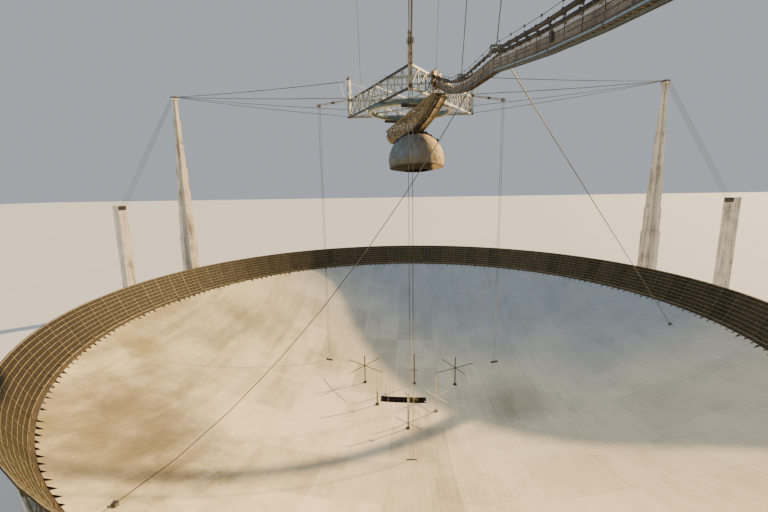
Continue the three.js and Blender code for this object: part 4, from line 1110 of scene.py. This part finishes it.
def buildArmFloor():
    # pale plates beside the keel, the deck at the arm's left end, and boxes along the middle
    s, walk, boxes = Shape(armTurn), Shape(armTurn), Shape(armTurn)
    rng = np.random.default_rng(9)
    for y in np.arange(-armReach + 0.5, armReach - 0.5, plate["pitch"]):
        z = trackHeight(y, plate["inside"])
        size, x = (least + more * rng.random() for least, more in (plate["length"], plate["start"]))
        s.block((x, y, z), (plate["outer"], y + size, z + plate["thickness"]))
        s.beam(*((across, y + along, z) for across, along in plate["bar"]), plate["thickness"])
    for x in plate["rails"]:
        s.chain(alongTrack(x, plate["railInside"]), *plate["railSize"])
    # the pale plates on the right side carry painted sunlight
    makeOnArm(s, "arm_rail_plates", "sunlitArm")
    half, inner = endDeck["half"], endDeck["length"] - armReach
    walk.block((-half, -armReach, armTop + endDeck["low"]), (half, inner, armTop + endDeck["high"]))
    z = armTop + endDeck["rail"]
    handrail(walk, [(-half, inner, z), (-half, -armReach, z), (half, -armReach, z), (half, inner, z)])
    makeOnArm(walk, "arm_end_deck", "paleArm")
    rng = np.random.default_rng(4)
    leastSize, moreSize = equipment["size"]
    leastShare, moreShare = equipment["share"]
    for y in np.arange(equipment["from"], equipment["to"], equipment["pitch"]):
        low = trackHeight(y, equipment["inside"])
        room = armTop - low - equipment["headroom"]
        tall = min(equipment["mostTall"], max(equipment["leastTall"], room))
        size = leastSize + moreSize * rng.random()
        x = (rng.random() - 0.5) * equipment["spread"]
        tall *= leastShare + moreShare * rng.random()
        boxes.block((x - size / 2, y - size, low), (x + size / 2, y + size, low + tall))
    makeOnArm(boxes, "arm_equipment", "house")


clip = {"count": 60, "inside": 0.36, "half": (0.48, 0.14), "thickness": 0.14}
wheel = {"y": 19.2, "spots": (-8.2, -6.6, 6.6, 8.2), "height": 151.0, "radius": 0.42, "half": 0.35,
         "out": 0.95, "yoke": (0.7, 1.1), "yokeHalf": (0.5, 0.3),
         "motor": 1.1, "motorLow": (-2.2, -0.2, -0.25), "motorHigh": (-0.2, 0.2, 0.45)}


def buildArmRunningGear():
    # clips that hold the track to the girders, and the trolleys' wheels on the ring
    clips, wheels = Shape(armTurn), Shape(armTurn)
    dx, dy = clip["half"]
    for _, y, z in alongTrack(0, clip["inside"], clip["count"]):
        for x in (-arm["side"], arm["side"]):
            clips.block((x - dx, y - dy, z), (x + dx, y + dy, z + clip["thickness"]))
    makeOnArm(clips, "arm_track_clips", "dark", "track_steel")
    z, half, (yokeX, yokeZ) = wheel["height"], wheel["half"], wheel["yokeHalf"]
    for sign in (-1, 1):
        y = sign * wheel["y"]
        hub = y + sign * wheel["out"]
        near, far = sorted(y + sign * out for out in wheel["yoke"])
        for x in wheel["spots"]:
            wheels.tube([(x - half, hub, z), (x + half, hub, z)], wheel["radius"], 12)
            wheels.block((x - yokeX, near, z - yokeZ), (x + yokeX, far, z + yokeZ))
        motor = Vector((0, y - sign * wheel["motor"], z))
        wheels.block(*(motor + Vector(wheel[k]) for k in ("motorLow", "motorHigh")))
    makeOnArm(wheels, "arm_trolley_wheels", "dark")


# the dome's section, as radius and distance from the centre of curvature
domeOutside = [(3.7, 125.7), (7.2, 127), (10, 129.2), (12.1, 132.2), (13.1, 135.6), (13.3, 138.9),
               (12.8, 140.9), (8.5, 142.1), (6.2, 142.4)]
domeSkin = {"rows": 8, "around": 25, "plate": 0.07, "gap": 0.07, "shell": 0.3, "least": 0.3, "bevel": -141.0,
            "crown": 0.4, "crownHeights": (-125.5, -125.75),
            "rim": [(12.86, 140.86), (12.7, 141.1), (12.45, 141.02), (12.7, 140.7)], "rimFacets": 48}


def alongProfile(profile, count):
    # places at even spacing along the profile's length
    lengths = [0.0]
    for (r0, z0), (r1, z1) in zip(profile, profile[1:]):
        lengths.append(lengths[-1] + math.hypot(r1 - r0, z1 - z0))
    wanted = np.linspace(0, lengths[-1], count + 1)
    return list(zip(np.interp(wanted, lengths, [p[0] for p in profile]),
                    np.interp(wanted, lengths, [p[1] for p in profile])))


def circle(r, z, count):
    return [Vector((r * math.cos(t), r * math.sin(t), z))
            for t in (2 * math.pi * i / count for i in range(count))]


def buildDome():
    # a shell under triangular panels with gaps between them, each with a tone of its own
    rows, around, deep = domeSkin["rows"], domeSkin["around"], domeSkin["plate"]
    line = alongProfile(domeOutside, rows)

    def point(k, i, inwards):
        r, rho = line[k]
        turn = 2 * math.pi * (i + 0.5 * (k % 2)) / around
        r = max(0.0, r - inwards)
        return Vector((r * math.cos(turn), r * math.sin(turn), -rho))

    s = Shape(domeTurn)
    skin = [[point(k, i, deep) for i in range(around)] for k in range(rows + 1)]
    inner = [[point(k, i, domeSkin["shell"]) for i in range(around)] for k in range(rows, -1, -1)]
    outerCrown, innerCrown = (circle(domeSkin["crown"], z, around) for z in domeSkin["crownHeights"])
    s.loft([outerCrown] + skin + inner + [innerCrown])
    tones, bevelShades = [0.5] * len(s.faces), [0.0] * len(s.faces)
    rng = np.random.default_rng(7)
    for k in range(rows):
        shift = k % 2
        for i in range(around):
            lower = [(k, i), (k, i + 1), (k + 1, i + shift)]
            upper = [(k + 1, i + shift - 1), (k + 1, i + shift), (k, i)]
            for triangle in (lower, upper):
                outside, inside = ([point(a, b, inwards) for a, b in triangle] for inwards in (0, deep))
                mid = sum(outside, Vector()) / 3
                size = min((p - mid).length for p in outside)
                if size < domeSkin["least"]:
                    continue
                keep = 1 - domeSkin["gap"] / size
                before = len(s.faces)
                s.loft([[mid + (p - mid) * keep for p in part] for part in (inside, outside)])
                tones += [float(rng.random())] * (len(s.faces) - before)
                # the panels low on the underside bevel, which the finish darkens as painted shade
                bevelShades += [float(mid.z < domeSkin["bevel"])] * (len(s.faces) - before)
    piece = s.make("receiver_dome_panels", "dome", "receiver_dome", "dome_skin", ["receiver_dome"])
    for key, values in (("panelTone", tones), ("bevelShadeShare", bevelShades)):
        attribute = piece.data.attributes.new(key, "FLOAT", "FACE")
        attribute.data.foreach_set("value", values)
    rim = Shape(domeTurn)
    circles = [circle(r, -rho, domeSkin["rimFacets"]) for r, rho in domeSkin["rim"]]
    rim.loft([list(section) for section in zip(*circles)], closed=True)
    rim.make("dome_rim", "dark", "receiver_dome", "dome_skin")


rib = {"count": 5, "inner": 4.4, "run": 5.4, "y": 2.6, "top": 125.0, "fall": 4.1, "half": (0.08, 0.52),
       "down": 0.3, "up": 0.35}
houseFrame = {"half": 3.36, "out": 0.04, "middle": -126.3, "top": -125.65, "length": 3.2, "bar": 0.12,
              "rail": 0.1, "lines": (-3.24, -1.1, 1.0, 3.12), "rails": (-125.8, -126.3), "arc": 8}


def buildCarriages():
    # ribs on the four arms of the dome's carriage, and frames round the second carriage
    s, h = Shape(domeTurn), Shape(houseTurn)
    dx, dy = rib["half"]
    for signX in (-1, 1):
        for signY in (-1, 1):
            y = signY * rib["y"]
            for t in ((k + 0.5) / rib["count"] for k in range(rib["count"])):
                x, z = signX * (rib["inner"] + rib["run"] * t), -rib["top"] - rib["fall"] * t
                s.block((x - dx, y - dy, z - rib["down"]), (x + dx, y + dy, z + rib["up"]))
    s.make("dome_carriage_ribs", "dark", "receiver_dome", "arm_steel")
    half, middle, length, bar, rail = (houseFrame[k] for k in ("half", "middle", "length", "bar", "rail"))
    sides = (-half - houseFrame["out"], half + houseFrame["out"] - rail)
    steps = houseFrame["arc"]
    for y in houseFrame["lines"]:
        for x in sides:
            h.block((x, y, middle), (x + rail, y + bar, houseFrame["top"]))
        h.chain([(half * math.cos(t), y + bar / 2, middle + half * math.sin(t))
                 for t in (math.pi + math.pi * k / steps for k in range(steps + 1))], bar, bar, (0, 1, 0))
    for z in houseFrame["rails"]:
        for x in sides:
            h.block((x, -length, z), (x + rail, length, z + rail))
    h.make("carriage_house_frames", "paleArm", "carriage_house", "arm_steel")


buildArmSides()
buildArmMiddle()
buildArmFloor()
buildArmRunningGear()
buildDome()
buildCarriages()
print("arm, dome and carriages made")


# Footbridge

bridge = {"toward": Vector((20, -175, 0)), "start": 1.5, "end": 166.0, "pitch": 2.2, "half": 0.6, "wall": 2.0,
          "foot": -0.2, "fence": 1.3, "carrier": 1.0, "rise": 3.06, "cableAt": 4.3}
# the floor's height along the bridge
bridgeFloor = [(0, 160.3), (8, 157.5), (17, 154.4), (27, 151.5), (35, 148.7), (43, 146.4), (52, 144.2),
               (61, 142.3), (74, 140), (86, 138.6), (98, 137.2), (110, 134.7), (123, 132.1), (136, 129.9),
               (150, 128), (168, 126)]
bridgeAlong = (bridge["toward"] - landing).normalized()
bridgeAcross = Vector((-bridgeAlong.y, bridgeAlong.x, 0))
bridgeSpots = list(np.arange(bridge["start"], bridge["end"], bridge["pitch"]))


def onBridge(s, sideways, rise):
    z = float(np.interp(s, [p[0] for p in bridgeFloor], [p[1] for p in bridgeFloor]))
    p = landing + bridgeAlong * s + bridgeAcross * sideways
    return Vector((p.x, p.y, z + rise))


def alongBridge(sideways, rise, spots=bridgeSpots):
    return [onBridge(s, sideways, rise) for s in spots]


# the hangers' ends are below the wall's top and below the carrier
bridgeSide = {"railOut": 0.03, "lowRail": 0.7, "topDrop": 0.02, "rail": 0.06, "post": 0.07,
              "hanger": 0.05, "hangerDrops": (0.1, 0.15), "meshIn": 0.02, "mesh": 0.03}
bridgeDeck = {"drop": 0.1, "width": 1.0, "thickness": 0.1, "barDrop": 0.22, "bar": (0.14, 0.18)}


def buildBridgeSides():
    # rails and posts, hangers up to the carriers, two weights of mesh, and the grating underfoot
    half, wall, foot, carrier, rise = (bridge[k] for k in ("half", "wall", "foot", "carrier", "rise"))
    rails, hangers, fence, thinFence, deck = (Shape() for _ in range(5))
    lowDrop, highDrop = bridgeSide["hangerDrops"]
    for sign in (-1, 1):
        out, mesh = sign * (half + bridgeSide["railOut"]), sign * (half - bridgeSide["meshIn"])
        for height in (bridgeSide["lowRail"], bridge["fence"], wall - bridgeSide["topDrop"]):
            rails.chain(alongBridge(out, height), bridgeSide["rail"])
        for s in bridgeSpots[::2]:
            rails.beam(onBridge(s, out, foot), onBridge(s, out, wall), bridgeSide["post"])
        for s in bridgeSpots[1::4]:
            hangers.beam(onBridge(s, out, wall - lowDrop), onBridge(s, sign * carrier, rise - highDrop),
                         bridgeSide["hanger"])
        for sheet, low, high in ((fence, foot, bridge["fence"]), (thinFence, bridge["fence"], wall)):
            sheet.chain(alongBridge(mesh, (low + high) / 2), bridgeSide["mesh"], high - low)
    rails.make("footbridge_rails", "cable")
    hangers.make("footbridge_hangers", "cable", slot="cables")
    fence.make("footbridge_fence", "fence", replaces=["catwalk_trough"])
    thinFence.make("footbridge_upper_fence", "thinFence", replaces=["catwalk_trough"])
    deck.chain(alongBridge(0, -bridgeDeck["drop"]), bridgeDeck["width"], bridgeDeck["thickness"])
    for s in np.arange(bridge["start"], bridge["end"], bridge["pitch"] / 2):
        deck.beam(*(onBridge(s, side, -bridgeDeck["barDrop"]) for side in (-half, half)), *bridgeDeck["bar"])
    deck.make("footbridge_deck", "deck")


sidePlate = {"low": -0.6, "high": -0.24, "out": 0.12, "thickness": 0.1, "edge": (0.14, 0.12),
             "joint": (0.1, 0.14)}


def buildBridgePlates():
    # pale plates along the foot of each side, with dark edges and joints
    sides, edges = Shape(), Shape()
    low, high = sidePlate["low"], sidePlate["high"]
    for sign in (-1, 1):
        out = sign * (bridge["half"] + sidePlate["out"])
        sides.chain(alongBridge(out, (low + high) / 2), sidePlate["thickness"], high - low)
        for height in (high + 0.04, low - 0.02):
            edges.chain(alongBridge(out * 1.05, height), *sidePlate["edge"])
        for s in bridgeSpots[2::6]:
            edges.beam(*(onBridge(s, out * 1.06, z) for z in (low, high)), *sidePlate["joint"], bridgeAcross)
    sides.make("footbridge_side_plates", "sidePlate")
    edges.make("footbridge_edges", "dark")


# the ropes' places count sideways and up, the tooth's corners along the bridge and up
carriers = {"ropes": ((-0.15, -0.12), (0.15, -0.12), (0, 0.15)), "rope": 0.17, "pitch": 4.2,
            "tooth": ((-1.3, -0.2), (0.5, -0.7), (0.7, -0.2)), "toothHalf": 0.1,
            "clamp": ((-0.24, -0.12, -0.26), (0.24, 0.12, 0.34))}
handCable = {"from": 14, "in": 0.1, "radius": 0.05, "clamp": (0.12, 0.12, 0.14), "strap": 0.04}


def buildBridgeCables():
    # three ropes a side with their clamps, and the thin hand cables over them
    ropes, teeth, top = Shape(), Shape(), Shape()
    carrier, rise, cableAt = bridge["carrier"], bridge["rise"], bridge["cableAt"]
    off = bridgeAcross * carriers["toothHalf"]
    for sign in (-1, 1):
        for dx, dz in carriers["ropes"]:
            ropes.tube(alongBridge(sign * carrier + dx, rise + dz), carriers["rope"])
        for s in np.arange(bridge["start"] + 2, bridge["end"] - 1, carriers["pitch"]):
            tooth = [onBridge(s + ds, sign * carrier, rise + dz) for ds, dz in carriers["tooth"]]
            teeth.loft([[p - off for p in tooth], [p + off for p in tooth]])
            teeth.block(*carriers["clamp"], Matrix.Translation(onBridge(s, sign * carrier, rise)))
    ropes.make("footbridge_carriers", "rope", slot="cables", replaces=["catwalk_cables"])
    teeth.make("footbridge_clamps", "dark")
    spots = [s for s in bridgeSpots if s > handCable["from"]]
    size = Vector(handCable["clamp"])
    for sign in (-1, 1):
        out = sign * (carrier - handCable["in"])
        top.tube(alongBridge(out, cableAt, spots), handCable["radius"], 5)
        for s in spots[1::3]:
            p = onBridge(s, out, cableAt)
            top.block(-size, size, Matrix.Translation(p))
            top.beam(p, onBridge(s, sign * carrier, rise), handCable["strap"])
    top.make("footbridge_hand_cables", "cable", slot="cables")


# the brace runs from its foot to its head, which count sideways
bridgeSaddle = {"spots": (61, 97.5), "half": 1.1, "plate": (2.5, 0.4), "plateHalf": 0.9, "plateUp": 0.35,
                "bar": 0.35, "shoe": (0.62, 0.7), "post": 0.3, "postUp": 0.1,
                "brace": 0.16, "braceHalf": 0.8, "braceFoot": 0.9, "braceHead": 0.3}
bridgeBox = {"at": 126, "out": 0.2, "rise": 0.95, "corners": ((-0.2, -0.35, -0.6), (0.12, 0.35, 0.6))}


def buildBridgeSaddles():
    # the frames that carry the hand cables where the bridge hangs from above, and a box on one side
    s, box = Shape(), Shape()
    carrier, rise, cableAt = bridge["carrier"], bridge["rise"], bridge["cableAt"]
    half, plateHalf, braceHalf = (bridgeSaddle[k] for k in ("half", "plateHalf", "braceHalf"))
    for at in bridgeSaddle["spots"]:
        a, b = (onBridge(at + ds, 0, rise + bridgeSaddle["plateUp"]) for ds in (-plateHalf, plateHalf))
        s.beam(a, b, *bridgeSaddle["plate"], bridgeAcross)
        s.beam(onBridge(at, -half, cableAt), onBridge(at, half, cableAt), bridgeSaddle["bar"])
        for sign in (-1, 1):
            a, b = (onBridge(at + ds, sign * carrier, rise) for ds in (-half, half))
            s.beam(a, b, *bridgeSaddle["shoe"])
            a, b = (onBridge(at, sign * half, z) for z in (rise, cableAt + bridgeSaddle["postUp"]))
            s.beam(a, b, bridgeSaddle["post"])
            for ds in (-braceHalf, braceHalf):
                a = onBridge(at + ds, sign * bridgeSaddle["braceFoot"], rise)
                b = onBridge(at, sign * bridgeSaddle["braceHead"], cableAt)
                s.beam(a, b, bridgeSaddle["brace"])
    s.make("footbridge_saddles", "saddle")
    p = onBridge(bridgeBox["at"], -bridge["half"] - bridgeBox["out"], bridgeBox["rise"])
    box.block(*bridgeBox["corners"], Matrix.Translation(p))
    box.make("footbridge_box", "dark")


buildBridgeSides()
buildBridgePlates()
buildBridgeCables()
buildBridgeSaddles()
print("footbridge made")


# Finishes of the CAD nodes

nodeFinish = {
    "reflector": "bowl", "centre_footing": "concrete", "rim_frame": "concrete", "ground_screen": "screen",
    "dipole_mast": "mast", "tower": "concrete", "anchor_pier": "concrete", "main_cables": "cable",
    "backstay": "cable", "outrigger": "post", "tie_down": "tie", "platform": "steel",
    "platform_truss_near_left": "leftTruss", "platform_truss_near_right": "rightTruss",
    "platform_truss_far": "farTruss", "ring_girder": "ring", "catwalk_trough": "fence",
    "catwalk_cables": "dark", "catwalk_pier": "concrete", "catwalk_hangers": "cable",
    # the arm's left truss takes the paint with painted shade, the right truss the one with painted sunlight
    "wind_guy_left": "cable", "wind_guy_right": "paleCable", "arm_truss_left": "arm",
    "arm_truss_right": "sunlitArm", "arm_ring_trolleys": "dark", "arm_track": "track",
    "receiver_dome": "dome", "dome_carriage": "dark", "carriage_house": "house",
}
for name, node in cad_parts.items():
    key = max((k for k in nodeFinish if name.startswith(k)), key=len)
    node.data.materials.clear()
    node.data.materials.append(finish[nodeFinish[key]])
print("CAD nodes painted")


# Floor, light and camera

scene = bpy.context.scene
studio = {"half": 400, "below": -0.004, "sky": "#dbe4ed", "strength": 0.58}  # model metres
floorMesh = bpy.data.meshes.new("studio_floor")
floorMesh.from_pydata([(x * studio["half"], y * studio["half"], studio["below"]) for x, y in square], [],
                      [[0, 1, 2, 3]])
floorMesh.materials.append(floorFinish())
studioFloor = bpy.data.objects.new("studio_floor", floorMesh)
scene.collection.objects.link(studioFloor)


def addSun(name, colour, power, spread, azimuth, height):
    # the light comes from an azimuth counted from +X and a height over the horizon
    lamp = bpy.data.lights.new(name, "SUN")
    lamp.color, lamp.energy, lamp.angle = tint(colour)[:3], power, math.radians(spread)
    holder = bpy.data.objects.new(name, lamp)
    source = polar(math.cos(math.radians(height)), azimuth, math.sin(math.radians(height)))
    holder.rotation_euler = (-source).to_track_quat("-Z", "Y").to_euler()
    scene.collection.objects.link(holder)


# colour, power, spread, azimuth and height of each
suns = {"low_warm_light": ("#ffd99f", 10.5, 1.6, 39, 22), "cool_fill": ("#cfe0f2", 0.7, 60, -125, 38)}
for name, sun in suns.items():
    addSun(name, *sun)
world = bpy.data.worlds.new("studio")
world.use_nodes = True
background = world.node_tree.nodes["Background"]
background.inputs["Color"].default_value = tint(studio["sky"])
background.inputs["Strength"].default_value = studio["strength"]
scene.world = world

view = {"place": (-0.634, -197.573, 113.483), "yaw": -3.87, "pitch": -9.59, "roll": -0.90,
        "lens": 17.757, "sensor": 36, "clip": (0.02, 2000)}
yaw, pitch, roll = (math.radians(view[k]) for k in ("yaw", "pitch", "roll"))
forward = Vector((math.sin(yaw) * math.cos(pitch), math.cos(yaw) * math.cos(pitch), math.sin(pitch)))
right = Vector((math.cos(yaw), -math.sin(yaw), 0))
up = right.cross(forward)
right, up = (right * math.cos(roll) + up * math.sin(roll), up * math.cos(roll) - right * math.sin(roll))
camera = bpy.data.cameras.new("photo_view")
camera.lens, camera.sensor_width = view["lens"], view["sensor"]
camera.clip_start, camera.clip_end = view["clip"]
holder = bpy.data.objects.new("photo_view", camera)
holder.matrix_world = (Matrix.Translation(toModel @ Vector(view["place"]))
                       @ Matrix((right, up, -forward)).transposed().to_4x4())
scene.collection.objects.link(holder)
scene.camera = holder
